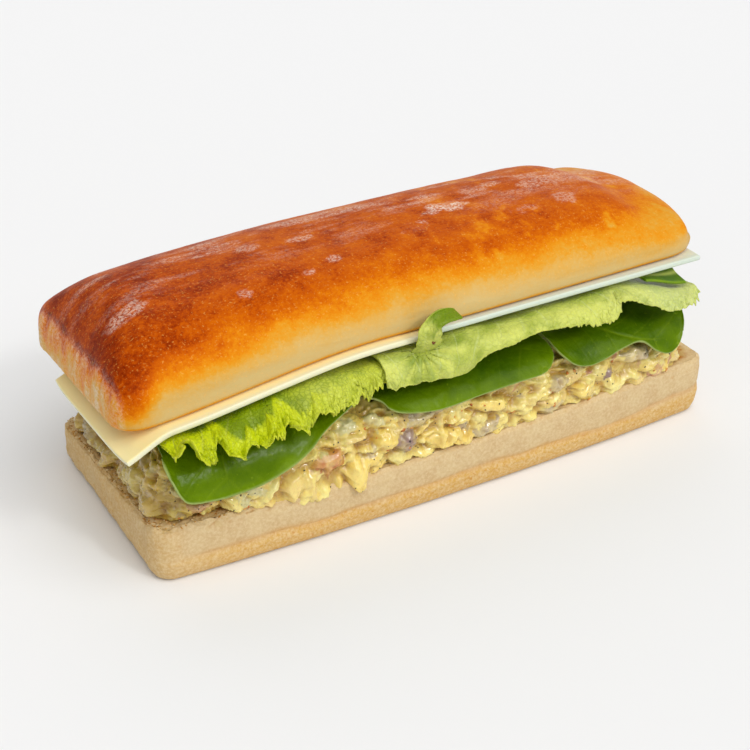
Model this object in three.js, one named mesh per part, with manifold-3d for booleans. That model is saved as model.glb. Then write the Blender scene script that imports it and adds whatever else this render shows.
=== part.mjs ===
// Chicken caesar sandwich in a long roll, in millimetres, +Z up.
// The origin is on the roll's flat underside, below the middle of the sandwich.
// X runs along the roll, and the side that shows most of the filling faces -Y.
import * as THREE from 'three';
import { mergeVertices } from 'three/addons/utils/BufferGeometryUtils.js';
import Module from 'manifold-3d';

// Stack: heights over the table and the lean of the whole stack
const STACK_LEAN = 0.08; // drop per millimetre towards the far side
const GAP = 0.3; // free space between touching pieces

// Lower half of the roll
const BASE_LEFT = -102.5;
const BASE_RIGHT = 106.5;
const BASE_WIDTH = 91.6;
const BASE_BARREL = 3.2; // how far each long side bows out
const BASE_CORNER = 7;
const BASE_HEIGHT = 15.7;
const BASE_HEIGHT_SLOPE = 0.9; // rise at the right end
const BASE_HEIGHT_SAG = 1.8; // rise at both ends
const BASE_CREASE_SHARE = 0.42; // where the crease between crust and crumb runs
const BASE_CREASE_DEPTH = 1.1;
const BASE_CREASE_FADE = [-98, -82]; // the crease runs out towards the left end

// Upper half of the roll
const BUN_LEFT = -108.5;
const BUN_RIGHT = 103.4;
const BUN_WIDTH = 80.5;
const BUN_BARREL = 1.4;
const BUN_CORNER_LEFT = 9;
const BUN_CORNER_RIGHT = 15.2;
const BUN_SIDE = 2.6; // height of the upright side under the dome
const BUN_TUCK = 0.975; // share of the outline that the cut face reaches
const BUN_LEFT_ROUND = 20; // how far in the left end reaches its full height
const BUN_RIGHT_ROUND = 25.8;
const BUN_RIGHT_NOSE = 9.2; // how far the crust's right end is set back at its corners
// Cut face to crown along the length, before the ends round off
const BUN_CREST = [[-108, 23.5], [-90, 27.1], [-60, 24.5], [-30, 21.6], [0, 21.8], [25, 21.4], [45, 22],
  [65, 20.7], [85, 15], [105, 17.4]];
const BUN_CUT_HEIGHT = 63.1; // near edge of the cut face
const BUN_CUT_DROOP = 9.2; // how far its left end hangs lower
const BUN_DROOP_SPAN = [22, 112]; // how far left of the middle it starts and ends
const BUN_CUT_NEAR = -38;

// Chicken salad
const SALAD_LEFT = -97.5;
const SALAD_RIGHT = 99;
const SALAD_WIDTH = 86.6;
const SALAD_CORNER = 11;
const SALAD_TOP = 39.4; // at the near shoulder
const SALAD_PIECES = 90;
const SALAD_PIECE_RADIUS = 4.6;
const SALAD_PIECE_PROUD = 3.3; // the most that a piece stands out of the heap
const SALAD_BARREL = 2;
const SALAD_SEED = 4711;
// Three rows of pieces round the heap: share of its height, and how much deeper they sit
const SALAD_ROWS = [{ height: 0.2, deeper: 0.3 }, { height: 0.52, deeper: 0 }, { height: 0.82, deeper: 4.2 }];

// Leaves and cheese
const SPINACH_THICKNESS = 0.7;
const SPINACH_TOP = 43.4; // flat inner stretch, at its near end
const SPINACH_BEND = 13.4; // radius round the shoulder of the salad
const SPINACH_FOLD_LINE = -34;
const LETTUCE_THICKNESS = 0.8;
const LETTUCE_BEND = 8;
const LETTUCE_FOLD_LINE = -40;
const LETTUCE_FOLD_DEPTH = 4.8; // the most that the slow folds inside swing to each side
const LETTUCE_FOLD_NEAR = 1.4; // the same just behind the near edge
const LETTUCE_FOLD_DROP = 1.25; // how many depths the folds' middle lies under the cheese
const LETTUCE_CLEARANCE = 2.6; // left over the spinach below the folds
const LETTUCE_SIDES_PER_RUFFLE = 4.6;
const LETTUCE_WIDEST_STEP = 3.8;
const CHEESE_THICKNESS = 2.6;
const CHEESE_NEAR = -43;
const CHEESE_FAR = 19;
const CHEESE_DROOP = 6.6; // how far the left end hangs under the bread
const CHEESE_DROOP_SPAN = [93, 114];
const CHEESE_CORNER = 0.8; // how far a slice's corners are set back

const wasm = await Module();
wasm.setup();

const mix = (a, b, t) => a + (b - a) * t;

// Height of the lower half's cut face
function baseTop(x, y) {
  const along = x / 100;
  return BASE_HEIGHT + BASE_HEIGHT_SLOPE * along + BASE_HEIGHT_SAG * along * along - STACK_LEAN * y;
}

// Height of the heap of salad over the cut face that carries it
function saladRise(x, y) {
  return SALAD_TOP - STACK_LEAN * (y - SPINACH_FOLD_LINE) - baseTop(x, y) - GAP;
}

// Height of the upper half's cut face
function bunCut(x, y) {
  const droop = BUN_CUT_DROOP * THREE.MathUtils.smoothstep(-x, ...BUN_DROOP_SPAN);
  return BUN_CUT_HEIGHT - droop - STACK_LEAN * (y - BUN_CUT_NEAR);
}

// Underside of the cheese, with the corner that hangs over the left end
function cheeseUnder(x, y) {
  const hang = CHEESE_DROOP * THREE.MathUtils.smoothstep(-x, ...CHEESE_DROOP_SPAN);
  return bunCut(x, y) - hang - GAP - CHEESE_THICKNESS;
}

// Slow, even unevenness between -1 and 1
function uneven(x, y, phase) {
  const a = Math.sin(x * 0.061 + phase) * Math.cos(y * 0.083 - phase);
  const b = Math.sin(x * 0.143 - y * 0.117 + 2.1 * phase);
  return 0.6 * a + 0.4 * b;
}

// Draws from one seeded sequence, between 0 and 1
function makeDraw(seed) {
  let state = seed;
  return () => {
    state = (state * 16807) % 2147483647;
    return state / 2147483647;
  };
}

// Turns points and triangles into a geometry with welded points
function weldedGeometry(positions, triangles) {
  const loose = new THREE.BufferGeometry();
  loose.setAttribute('position', new THREE.Float32BufferAttribute(positions, 3));
  loose.setIndex(triangles);
  const welded = mergeVertices(loose, 1e-3);
  const source = welded.index.array;
  const kept = [];
  for (let i = 0; i < source.length; i += 3) {
    const [a, b, c] = [source[i], source[i + 1], source[i + 2]];
    if (a !== b && b !== c && c !== a) kept.push(a, b, c);
  }
  welded.setIndex(kept);
  return welded;
}

// Rounded oblong seen from above, counterclockwise from the middle of the right end.
// Each point has its place, its outward direction and its place on the middle line.
function roundedOutline({ left, right, width, barrel, cornerLeft, cornerRight, count }) {
  const half = width / 2 - barrel;
  const path = new THREE.Path();
  path.moveTo(right, 0);
  path.lineTo(right, half - cornerRight);
  path.absarc(right - cornerRight, half - cornerRight, cornerRight, 0, Math.PI / 2, false);
  path.lineTo(left + cornerLeft, half);
  path.absarc(left + cornerLeft, half - cornerLeft, cornerLeft, Math.PI / 2, Math.PI, false);
  path.lineTo(left, 0);
  const middle = (left + right) / 2;
  const reach = (right - left) / 2;
  const bow = (x) => 1 + (barrel / half) * (1 - ((x - middle) / reach) ** 2);
  const farSide = path.getSpacedPoints(count / 2).map((p) => [p.x, p.y * bow(p.x)]);
  farSide[0][1] = 0;
  farSide[count / 2][1] = 0;
  const nearSide = farSide.slice(1, -1).reverse().map(([x, y]) => [x, -y]);
  const ring = [...farSide, ...nearSide];
  return ring.map(([x, y], i) => {
    const before = ring[(i + count - 1) % count];
    const after = ring[(i + 1) % count];
    const out = new THREE.Vector2(after[1] - before[1], before[0] - after[0]).normalize();
    const spine = THREE.MathUtils.clamp(x, left + width / 2, right - width / 2);
    return { x, y, out, spine };
  });
}

// Closed body from rings that all follow one outline. The first and last ring lie
// on the middle line, where their two sides meet.
function ringBody(outline, ringCount, pointAt) {
  const positions = [];
  for (let ring = 0; ring < ringCount; ring++) {
    for (const place of outline) positions.push(...pointAt(ring, place));
  }
  const count = outline.length;
  const triangles = [];
  for (let ring = 0; ring < ringCount - 1; ring++) {
    for (let i = 0; i < count; i++) {
      const a = ring * count + i;
      const b = ring * count + ((i + 1) % count);
      triangles.push(a, b, b + count, a, b + count, a + count);
    }
  }
  return weldedGeometry(positions, triangles);
}

// Place on the outline pulled in towards the middle line, 1 outside and 0 on the line
function pulledIn(place, share) {
  return [mix(place.spine, place.x, share), place.y * share];
}

// Thin solid round a surface of two parameters, both faces split alike
function sheetBody(surfaceAt, across, along, thickness) {
  const step = 1e-3;
  const point = (u, v) => new THREE.Vector3(...surfaceAt(u, v));
  const faceAt = (u, v, side) => {
    const du = point(Math.min(u + step, 1), v).sub(point(Math.max(u - step, 0), v));
    const dv = point(u, Math.min(v + step, 1)).sub(point(u, Math.max(v - step, 0)));
    const normal = du.cross(dv).normalize();
    return point(u, v).addScaledVector(normal, (side * thickness) / 2);
  };
  const positions = [];
  for (const side of [1, -1]) {
    for (let j = 0; j <= along; j++) {
      for (let i = 0; i <= across; i++) {
        positions.push(...faceAt(i / across, j / along, side).toArray());
      }
    }
  }
  const row = across + 1;
  const lower = row * (along + 1);
  const triangles = [];
  for (let j = 0; j < along; j++) {
    for (let i = 0; i < across; i++) {
      const a = j * row + i;
      const [b, c, d] = [a + 1, a + row + 1, a + row];
      triangles.push(a, b, c, a, c, d);
      triangles.push(lower + a, lower + c, lower + b, lower + a, lower + d, lower + c);
    }
  }
  const rim = [];
  for (let i = 0; i < across; i++) rim.push(i);
  for (let j = 0; j < along; j++) rim.push(j * row + across);
  for (let i = across; i > 0; i--) rim.push(along * row + i);
  for (let j = along; j > 0; j--) rim.push(j * row);
  rim.forEach((a, i) => {
    const b = rim[(i + 1) % rim.length];
    triangles.push(a, lower + a, lower + b, a, lower + b, b);
  });
  return weldedGeometry(positions, triangles);
}

// Closed mesh to a solid for joining and cutting, and back
function toSolid(geometry) {
  const bare = geometry.clone();
  bare.deleteAttribute('normal');
  bare.deleteAttribute('uv');
  const welded = mergeVertices(bare, 1e-4);
  return new wasm.Manifold(new wasm.Mesh({
    numProp: 3,
    vertProperties: Float32Array.from(welded.attributes.position.array),
    triVerts: Uint32Array.from(welded.index.array),
  }));
}

function toGeometry(solid) {
  const { vertProperties, triVerts } = solid.getMesh();
  const geometry = new THREE.BufferGeometry();
  geometry.setAttribute('position', new THREE.Float32BufferAttribute(vertProperties, 3));
  geometry.setIndex([...triVerts]);
  return geometry;
}

// The solid without the loose scraps that a cut can leave
function largestPiece(solid) {
  return solid.decompose().reduce((a, b) => (a.volume() > b.volume() ? a : b));
}

// Smooth curve through a few hand-set points, read by its first coordinate
function edgeCurve(points) {
  const curve = new THREE.SplineCurve(points.map(([x, y]) => new THREE.Vector2(x, y)));
  const table = curve.getPoints(40 * points.length);
  return (x) => {
    const next = table.findIndex((p) => p.x >= x);
    if (next <= 0) return next === 0 ? table[0].y : table[table.length - 1].y;
    const [a, b] = [table[next - 1], table[next]];
    return mix(a.y, b.y, (x - a.x) / (b.x - a.x || 1));
  };
}

// Path of a leaf that lies flat, bends round a shoulder and hangs: place across and
// height for a way along it, which is 0 where the bend starts
function draped(way, foldLine, top, bend) {
  const quarter = (bend * Math.PI) / 2;
  if (way <= 0) return [foldLine - way, top + STACK_LEAN * way];
  if (way < quarter) {
    const angle = way / bend;
    return [foldLine - bend * Math.sin(angle), top - bend * (1 - Math.cos(angle))];
  }
  return [foldLine - bend, top - bend - (way - quarter)];
}

function makeBase() {
  const outline = roundedOutline({
    left: BASE_LEFT,
    right: BASE_RIGHT,
    width: BASE_WIDTH,
    barrel: BASE_BARREL,
    cornerLeft: BASE_CORNER,
    cornerRight: BASE_CORNER,
    count: 64,
  });
  const crease = BASE_CREASE_SHARE;
  // How far in from the outline, and at which share of the height
  const profile = [
    [4.8, 0], [1.6, 0.03], [0.4, 0.15], [0, 0.3],
    [0.2, crease - 0.06], [BASE_CREASE_DEPTH, crease], [0.3, crease + 0.07],
    [0.1, 0.75], [0.5, 0.93], [1.8, 1],
  ];
  const flats = [0, 0.5];
  return ringBody(outline, profile.length + 2 * flats.length, (ring, place) => {
    const last = profile.length + 2 * flats.length - 1;
    if (ring < flats.length) return [...pulledIn(place, flats[ring]), 0];
    if (ring > last - flats.length) {
      const [x, y] = pulledIn(place, flats[last - ring]);
      return [x, y, baseTop(x, y)];
    }
    const [fullInset, share] = profile[ring - flats.length];
    const fading = share === crease ? THREE.MathUtils.smoothstep(place.x, ...BASE_CREASE_FADE) : 1;
    const inset = fullInset * fading;
    const x = place.x - place.out.x * inset;
    const y = place.y - place.out.y * inset;
    const waver = 0.03 * Math.sin(x * 0.05 + 1.3) * Math.sin(Math.PI * share);
    return [x, y, baseTop(x, y) * (share + waver)];
  });
}

// The lowest of a few shares, with the change from one to the next rounded off
function softLowest(...shares) {
  const sum = shares.reduce((total, share) => total + Math.max(share, 1e-3) ** -5, 1 - shares.length);
  return sum ** -0.2;
}

// Rise of the crust over the cut face. Across the roll it is domed. The left end stands
// upright under a sharp edge, and the right end rounds off slowly.
const crestAt = edgeCurve(BUN_CREST);
function crustRise(x, y, ringShare) {
  const rise = crestAt(x) + 0.5 * uneven(x, y, 0.8);
  const across = Math.max(1 - (Math.abs(2 * y) / BUN_WIDTH) ** 2.4, 0) ** 0.476;
  const fromLeft = THREE.MathUtils.clamp((x - BUN_LEFT) / BUN_LEFT_ROUND, 0, 1);
  const nose = BUN_RIGHT - BUN_RIGHT_NOSE * ((2 * y) / BUN_WIDTH) ** 2;
  const fromRight = THREE.MathUtils.clamp((nose - x) / BUN_RIGHT_ROUND, 0, 1);
  const leftEnd = (1 - (1 - fromLeft) ** 2.2) ** 0.35;
  const rightEnd = (1 - (1 - fromRight) ** 2.1) ** 0.24;
  const brim = (1 - ringShare ** 10) ** 0.45;
  return BUN_SIDE + (rise - BUN_SIDE) * softLowest(across, leftEnd, rightEnd, brim);
}

function makeTopBun() {
  const outline = roundedOutline({
    left: BUN_LEFT,
    right: BUN_RIGHT,
    width: BUN_WIDTH,
    barrel: BUN_BARREL,
    cornerLeft: BUN_CORNER_LEFT,
    cornerRight: BUN_CORNER_RIGHT,
    count: 68,
  });
  // Cut face and tucked lower edge: share of the outline and height over the cut face
  const lower = [[0, 0], [0.55, 0], [BUN_TUCK, 0], [(2 + BUN_TUCK) / 3, 0.3 * BUN_SIDE]];
  const crust = [1, 0.995, 0.98, 0.955, 0.92, 0.86, 0.76, 0.62, 0.44, 0.22, 0];
  return ringBody(outline, lower.length + crust.length, (ring, place) => {
    if (ring < lower.length) {
      const [share, height] = lower[ring];
      const [x, y] = pulledIn(place, share);
      return [x, y, bunCut(x, y) + height];
    }
    const share = crust[ring - lower.length];
    const [x, y] = pulledIn(place, share);
    return [x, y, bunCut(x, y) + crustRise(x, y, share)];
  });
}

// Heap of salad without its pieces: an oblong with upright sides and round shoulders
function saladCore(outline) {
  const sides = [
    [0, 0], [0.6, 0], [0.965, 0], [0.99, 0.2], [0.985, 0.5],
    [0.94, 0.74], [0.85, 0.91], [0.72, 0.98], [0.36, 1], [0, 1],
  ];
  return ringBody(outline, sides.length, (ring, place) => {
    const [share, height] = sides[ring];
    const swell = 1 + 0.012 * uneven(place.x, place.y, 2.4);
    const [x, y] = pulledIn(place, share * (share > 0.5 ? swell : 1));
    return [x, y, baseTop(x, y) + GAP + height * (saladRise(x, y) + 0.4 * uneven(x, y, 4.2))];
  });
}

// One piece of chicken, egg or cheese in the dressing: a lump with few sides
function saladPiece(draw, size) {
  const lump = new THREE.IcosahedronGeometry(1, 0);
  lump.scale(size * mix(0.9, 1.7, draw()), size * mix(0.8, 1.1, draw()), size * mix(0.6, 0.95, draw()));
  lump.rotateY(mix(-0.6, 0.6, draw()));
  lump.rotateZ(mix(-0.5, 0.5, draw()));
  return lump;
}

function makeSalad() {
  const outline = roundedOutline({
    left: SALAD_LEFT,
    right: SALAD_RIGHT,
    width: SALAD_WIDTH,
    barrel: SALAD_BARREL,
    cornerLeft: SALAD_CORNER,
    cornerRight: SALAD_CORNER,
    count: 56,
  });
  let heap = toSolid(saladCore(outline));
  const draw = makeDraw(SALAD_SEED);
  const rows = SALAD_ROWS.length;
  const perRow = SALAD_PIECES / rows;
  for (let piece = 0; piece < SALAD_PIECES; piece++) {
    const row = piece % rows;
    const turn = (Math.floor(piece / rows) + 0.37 * row + 0.3 * draw()) / perRow;
    const corner = turn * outline.length;
    const spot = outline[Math.floor(corner) % outline.length];
    const next = outline[(Math.floor(corner) + 1) % outline.length];
    const place = [mix(spot.x, next.x, corner % 1), mix(spot.y, next.y, corner % 1)];
    const size = SALAD_PIECE_RADIUS * mix(0.75, 1.3, draw());
    const proud = mix(0.35, 1, draw()) * SALAD_PIECE_PROUD;
    const depth = size * 0.9 - proud + SALAD_ROWS[row].deeper;
    const lump = saladPiece(draw, size);
    lump.rotateZ(Math.atan2(spot.out.y, spot.out.x) + Math.PI / 2);
    const x = place[0] - spot.out.x * depth;
    const y = place[1] - spot.out.y * depth;
    const rise = saladRise(x, y);
    const lift = Math.min(SALAD_ROWS[row].height * rise, rise + 2 - size);
    lump.translate(x, y, baseTop(x, y) + GAP + Math.max(lift, size + 0.6));
    heap = heap.add(toSolid(lump));
  }
  return toGeometry(largestPiece(heap));
}

// Spinach: the outer edge hangs over the near side, the rest lies on the salad
function spinachSurface({ left, right, outer, inner, top, wave, phase }) {
  const outerWay = edgeCurve(outer);
  const innerWay = edgeCurve(inner);
  return (u, v) => {
    const x = mix(left, right, (1 - Math.cos(Math.PI * u)) / 2);
    const way = mix(innerWay(x), outerWay(x), v);
    const [y, z] = draped(way, SPINACH_FOLD_LINE, top, SPINACH_BEND);
    const ripple = wave * Math.sin(x * 0.13 + way * 0.06 + phase);
    const onTop = THREE.MathUtils.smoothstep(-way, -4, 10);
    return [x, y - (1 - onTop) * (0.5 + 0.6 * ripple), z + onTop * ripple];
  };
}

const SPINACH_LEAVES = {
  spinach_leaf_left: {
    left: -98,
    right: -30,
    outer: [[-98, 2], [-95, 12], [-90, 20], [-76, 21.5], [-64, 21], [-55, 15], [-42, 11], [-30, 3]],
    inner: [[-98, -6], [-92, -40], [-72, -68], [-50, -60], [-36, -30], [-30, -6]],
    top: SPINACH_TOP,
    wave: 0.7,
    phase: 0.4,
  },
  spinach_leaf_middle: {
    left: -28,
    right: 40,
    outer: [[-28, 3], [-20, 11], [-6, 14], [8, 15.5], [22, 15.5], [34, 12.5], [40, 4]],
    inner: [[-28, -8], [-20, -42], [0, -66], [22, -64], [35, -36], [40, -8]],
    top: SPINACH_TOP,
    wave: 0.6,
    phase: 2.2,
  },
  spinach_leaf_right: {
    left: 40.8,
    right: 93.5,
    outer: [[40.8, 4], [48, 14], [58, 17], [69, 12.5], [79, 18], [87, 19], [93.5, 8]],
    inner: [[40.8, -8], [48, -44], [62, -68], [80, -62], [90, -34], [93.5, -8]],
    top: SPINACH_TOP + 0.4,
    wave: 0.8,
    phase: 4.1,
  },
};

// Lettuce: the near edge comes out under the cheese and turns down, with its ruffle
// growing towards that edge. Inside, slow folds fill the space between spinach and
// cheese as far as the far edge. Both leaves share them, so the left one lies evenly
// under the end of the long one.
function lettuceSurface({ left, right, edge, inner, under, bend, ruffle, pitch, phase }) {
  const edgeWay = edgeCurve(edge);
  return (u, v) => {
    const x = mix(left, right, u);
    const way = mix(-inner, edgeWay(x), v);
    const top = cheeseUnder(x, LETTUCE_FOLD_LINE) - under(x);
    const [y, z] = draped(way, LETTUCE_FOLD_LINE, top, bend(x));
    const out = THREE.MathUtils.smoothstep(way, -14, 10);
    const fold = Math.sin((2 * Math.PI * x) / pitch + phase + 0.05 * way);
    const slow = Math.sin(x * 0.11 + way * 0.09 + 1.5);
    const quick = Math.sin(x * 0.19 - way * 0.12 + 0.6);
    const room = (top - SPINACH_TOP - LETTUCE_CLEARANCE) / (1 + LETTUCE_FOLD_DROP);
    const deepest = Math.min(room, LETTUCE_FOLD_DEPTH);
    const shallow = Math.min(room, LETTUCE_FOLD_NEAR);
    const depth = mix(shallow, deepest, THREE.MathUtils.smoothstep(-way, 12, 34));
    const inside = (1 - out) * depth * (0.62 * slow + 0.38 * quick - LETTUCE_FOLD_DROP);
    return [x, y - out * ruffle(x) * 0.5 * (1 + fold), z + inside];
  };
}

const LETTUCE_LEAVES = {
  lettuce_left: {
    left: -97,
    right: -22.4,
    edge: [[-97, 10], [-90, 13], [-83, 13.5], [-76, 15.4], [-68, 14.2], [-60, 13.6], [-54, 15], [-45, 14],
      [-36, 13.3], [-27, 12], [-22.4, 7]],
    inner: 80,
    under: (x) => 1.4 + 2.3 * THREE.MathUtils.smoothstep(x, -46, -28),
    bend: (x) => LETTUCE_BEND - 2 * THREE.MathUtils.smoothstep(x, -46, -28),
    ruffle: (x) => 2.6 * (1 - THREE.MathUtils.smoothstep(x, -46, -27)),
    pitch: 11,
    phase: 0.6,
  },
  lettuce_right: {
    left: -26,
    right: 97,
    edge: [[-26, 12.5], [-18, 14], [-8, 14], [2, 15], [14, 10], [40, 9], [56, 12], [63, 6], [72, 9],
      [82, 11.2], [97, 4.5]],
    inner: 79,
    under: (x) => {
      const setBack = 1.4 + 3.2 * THREE.MathUtils.smoothstep(x, 60, 90);
      return setBack + 3.5 * THREE.MathUtils.smoothstep(x, 76, 95);
    },
    bend: () => LETTUCE_BEND,
    ruffle: (x) => 1.5 * THREE.MathUtils.smoothstep(x, -26, -16),
    pitch: 23,
    phase: 2.4,
  },
};

// The strip of the long lettuce that curls up over the edge of the cheese
function flapSurface(u, v) {
  const height = mix(54.5, 70.5, v);
  const curl = THREE.MathUtils.smoothstep(v, 0.45, 1);
  const width = mix(7, 12, v);
  const x = -9.5 + (u - 0.5) * width + 4 * curl;
  const y = -45.6 - 1.2 * Math.sin(Math.PI * v) + 1.6 * curl * Math.cos(3 * u);
  return [x, y, height - 2.4 * curl * u];
}

// Narrow strip of lettuce that shows between cheese and lettuce at the right end: it lies
// under the cheese, and its near edge comes down to the long leaf
function stripSurface(u, v) {
  const x = mix(76, 93, u);
  const y = mix(-41.5, -14, v);
  const near = LETTUCE_LEAVES.lettuce_right.under(x) - 1.3;
  return [x, y, cheeseUnder(x, y) - mix(near, 1.2, THREE.MathUtils.smoothstep(v, 0, 0.6))];
}

// A slice of cheese under the bun, with its edge past the bread
function cheeseSurface({ left, right, near, far }) {
  return (u, v) => {
    const corner = CHEESE_CORNER * (2 * v - 1) ** 6;
    const x = mix(left + corner, right - corner, u);
    const y = mix(near, far, v);
    return [x, y, cheeseUnder(x, y) + CHEESE_THICKNESS / 2];
  };
}

const CHEESE_SLICES = {
  cheese_slice_left: { left: -109, right: -9, near: CHEESE_NEAR, far: CHEESE_FAR },
  cheese_slice_right: { left: -8.2, right: 98.8, near: CHEESE_NEAR + 1.4, far: CHEESE_FAR + 3 },
};

function addPiece(group, name, geometry, colour, roughness) {
  geometry.computeVertexNormals();
  const material = new THREE.MeshStandardMaterial({ color: colour, roughness, metalness: 0 });
  const mesh = new THREE.Mesh(geometry, material);
  mesh.name = name;
  group.add(mesh);
}

const sandwich = new THREE.Group();
addPiece(sandwich, 'base_bun', makeBase(), 0xd9bd8c, 0.8);

addPiece(sandwich, 'chicken_salad', makeSalad(), 0xd8bc72, 0.5);

for (const [name, leaf] of Object.entries(SPINACH_LEAVES)) {
  addPiece(sandwich, name, sheetBody(spinachSurface(leaf), 13, 11, SPINACH_THICKNESS), 0x2f6a17, 0.35);
}

for (const [name, leaf] of Object.entries(LETTUCE_LEAVES)) {
  const step = Math.min(leaf.pitch / LETTUCE_SIDES_PER_RUFFLE, LETTUCE_WIDEST_STEP);
  const across = Math.round((leaf.right - leaf.left) / step);
  let body = sheetBody(lettuceSurface(leaf), across, 9, LETTUCE_THICKNESS);
  if (name === 'lettuce_right') {
    const flap = sheetBody(flapSurface, 6, 7, LETTUCE_THICKNESS);
    body = toGeometry(toSolid(body).add(toSolid(flap)));
  }
  addPiece(sandwich, name, body, 0x9fbe3a, 0.45);
}
addPiece(sandwich, 'lettuce_strip_right', sheetBody(stripSurface, 6, 4, LETTUCE_THICKNESS), 0x5f8a25, 0.45);

for (const [name, slice] of Object.entries(CHEESE_SLICES)) {
  addPiece(sandwich, name, sheetBody(cheeseSurface(slice), 14, 4, CHEESE_THICKNESS), 0xead9a0, 0.4);
}
addPiece(sandwich, 'top_bun', makeTopBun(), 0xc8741f, 0.55);

export default sandwich;
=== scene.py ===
"""Chicken caesar sandwich in a long roll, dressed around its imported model.

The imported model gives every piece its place. Here each piece gets its true surface: baked crust with flour,
open crumb, a heap of dressed chicken, spinach, ruffled lettuce and sliced cheese. Shapes are worked out in
millimetres in the row frame and turned into metres as each mesh is made.
"""

import logging
import math
from collections.abc import Callable, Sequence
from dataclasses import dataclass, field
from enum import Enum

import bmesh
import bpy
import numpy as np
from mathutils import Matrix, Vector


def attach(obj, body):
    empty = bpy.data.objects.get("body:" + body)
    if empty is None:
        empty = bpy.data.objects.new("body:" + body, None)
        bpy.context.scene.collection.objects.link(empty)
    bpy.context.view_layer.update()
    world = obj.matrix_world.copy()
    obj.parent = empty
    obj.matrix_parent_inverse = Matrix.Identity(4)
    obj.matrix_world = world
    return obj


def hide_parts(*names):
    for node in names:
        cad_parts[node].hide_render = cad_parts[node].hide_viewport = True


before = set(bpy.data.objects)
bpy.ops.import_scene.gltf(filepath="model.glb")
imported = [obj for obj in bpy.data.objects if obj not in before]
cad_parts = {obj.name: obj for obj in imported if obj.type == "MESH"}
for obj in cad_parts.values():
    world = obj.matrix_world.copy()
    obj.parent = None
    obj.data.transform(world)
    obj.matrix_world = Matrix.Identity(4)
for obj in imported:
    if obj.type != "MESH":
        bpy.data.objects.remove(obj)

Array = np.ndarray
Number = float | Array
Colour = tuple[float, float, float]
Curve = tuple[tuple[float, float], ...]
Socket = bpy.types.NodeSocket
Input = Socket | float | Colour

MM = 0.001
BODY = "root"
LOG = logging.getLogger("sandwich")

STACK_LEAN = 0.08
GAP = 0.3
WELD_MM = 0.004


# Small numeric helpers


def mix(low: Number, high: Number, share: Number) -> Number:
    """Value between low and high, at that share of the way."""
    return low + (high - low) * share


def smoothstep(value: Number, start: float, end: float) -> Array:
    """Share that eases from 0 at start to 1 at end: 3t^2 - 2t^3."""
    t = np.clip((np.asarray(value, float) - start) / (end - start), 0.0, 1.0)
    return t * t * (3.0 - 2.0 * t)


def plateau(value: Number, rise: tuple[float, float], fall: tuple[float, float]) -> Array:
    """Share that eases from 0 to 1 over the rise and back to 0 over the fall."""
    return smoothstep(value, *rise) * (1 - smoothstep(value, *fall))


def bell(value: Number, centre: Number, width: Number) -> Array:
    """Share of 1 at the centre that falls off on both sides, to 0.37 at the width."""
    return np.exp(-(((value - centre) / width) ** 2))


def shares(count: int, power: float = 1.0) -> Array:
    """Shares from 0 to 1, drawn together towards the end by a power below 1."""
    return np.linspace(0.0, 1.0, count) ** power


def srgb(red: int, green: int, blue: int) -> Colour:
    """Linear colour of a screen colour from 0 to 255."""
    scaled = np.array([red, green, blue]) / 255.0
    linear = np.where(scaled <= 0.04045, scaled / 12.92, ((scaled + 0.055) / 1.055) ** 2.4)
    return tuple(float(value) for value in linear)


def soft_lowest(*parts: Array) -> Array:
    """Lowest of a few shares, with the change from one to the next rounded off: a mean of power -5."""
    total = sum(np.maximum(part, 1e-3) ** -5.0 for part in parts) + 1 - len(parts)
    return total**-0.2


def uneven(x: Array, y: Array, phase: float) -> Array:
    """Slow, even unevenness between -1 and 1, as a sum of two products of sines."""
    first = np.sin(x * 0.061 + phase) * np.cos(y * 0.083 - phase)
    second = np.sin(x * 0.143 - y * 0.117 + 2.1 * phase)
    return 0.6 * first + 0.4 * second


@dataclass(frozen=True)
class Noise:
    """Smooth random field: seeded values on a cubic lattice, blended between its points by smoothstep."""

    seed: int
    side: int = 32

    def at(self, points: Array, size: float | Sequence[float]) -> Array:
        """Field between -1 and 1.

        Args:
            points: places in mm, the last axis holding x, y and z.
            size: lattice step in mm, one number or one for each axis.

        Returns:
            One value for each place.
        """
        table = np.random.default_rng(self.seed).uniform(-1.0, 1.0, (self.side,) * 3)
        scaled = points / np.asarray(size, float) + 0.37 * self.seed
        cell = np.floor(scaled).astype(int)
        share = scaled - cell
        share = share * share * (3.0 - 2.0 * share)
        low, high = cell % self.side, (cell + 1) % self.side
        total = np.zeros(points.shape[:-1])
        for corner in np.ndindex(2, 2, 2):
            index = tuple((high if step else low)[..., axis] for axis, step in enumerate(corner))
            weights = [share[..., axis] if step else 1 - share[..., axis] for axis, step in enumerate(corner)]
            total += np.prod(weights, axis=0) * table[index]
        return total

    def fractal(
        self, points: Array, size: float | Sequence[float], octaves: int = 4, fall: float = 0.5
    ) -> Array:
        """Sum of finer and finer fields, each half the size and fall times the strength of the last."""
        total, strength, reach = 0.0, 1.0, 0.0
        for octave in range(octaves):
            layer = Noise(self.seed + 7 * octave)
            total = total + strength * layer.at(points, np.asarray(size, float) / 2.0**octave)
            reach += strength
            strength *= fall
        return total / reach


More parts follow.
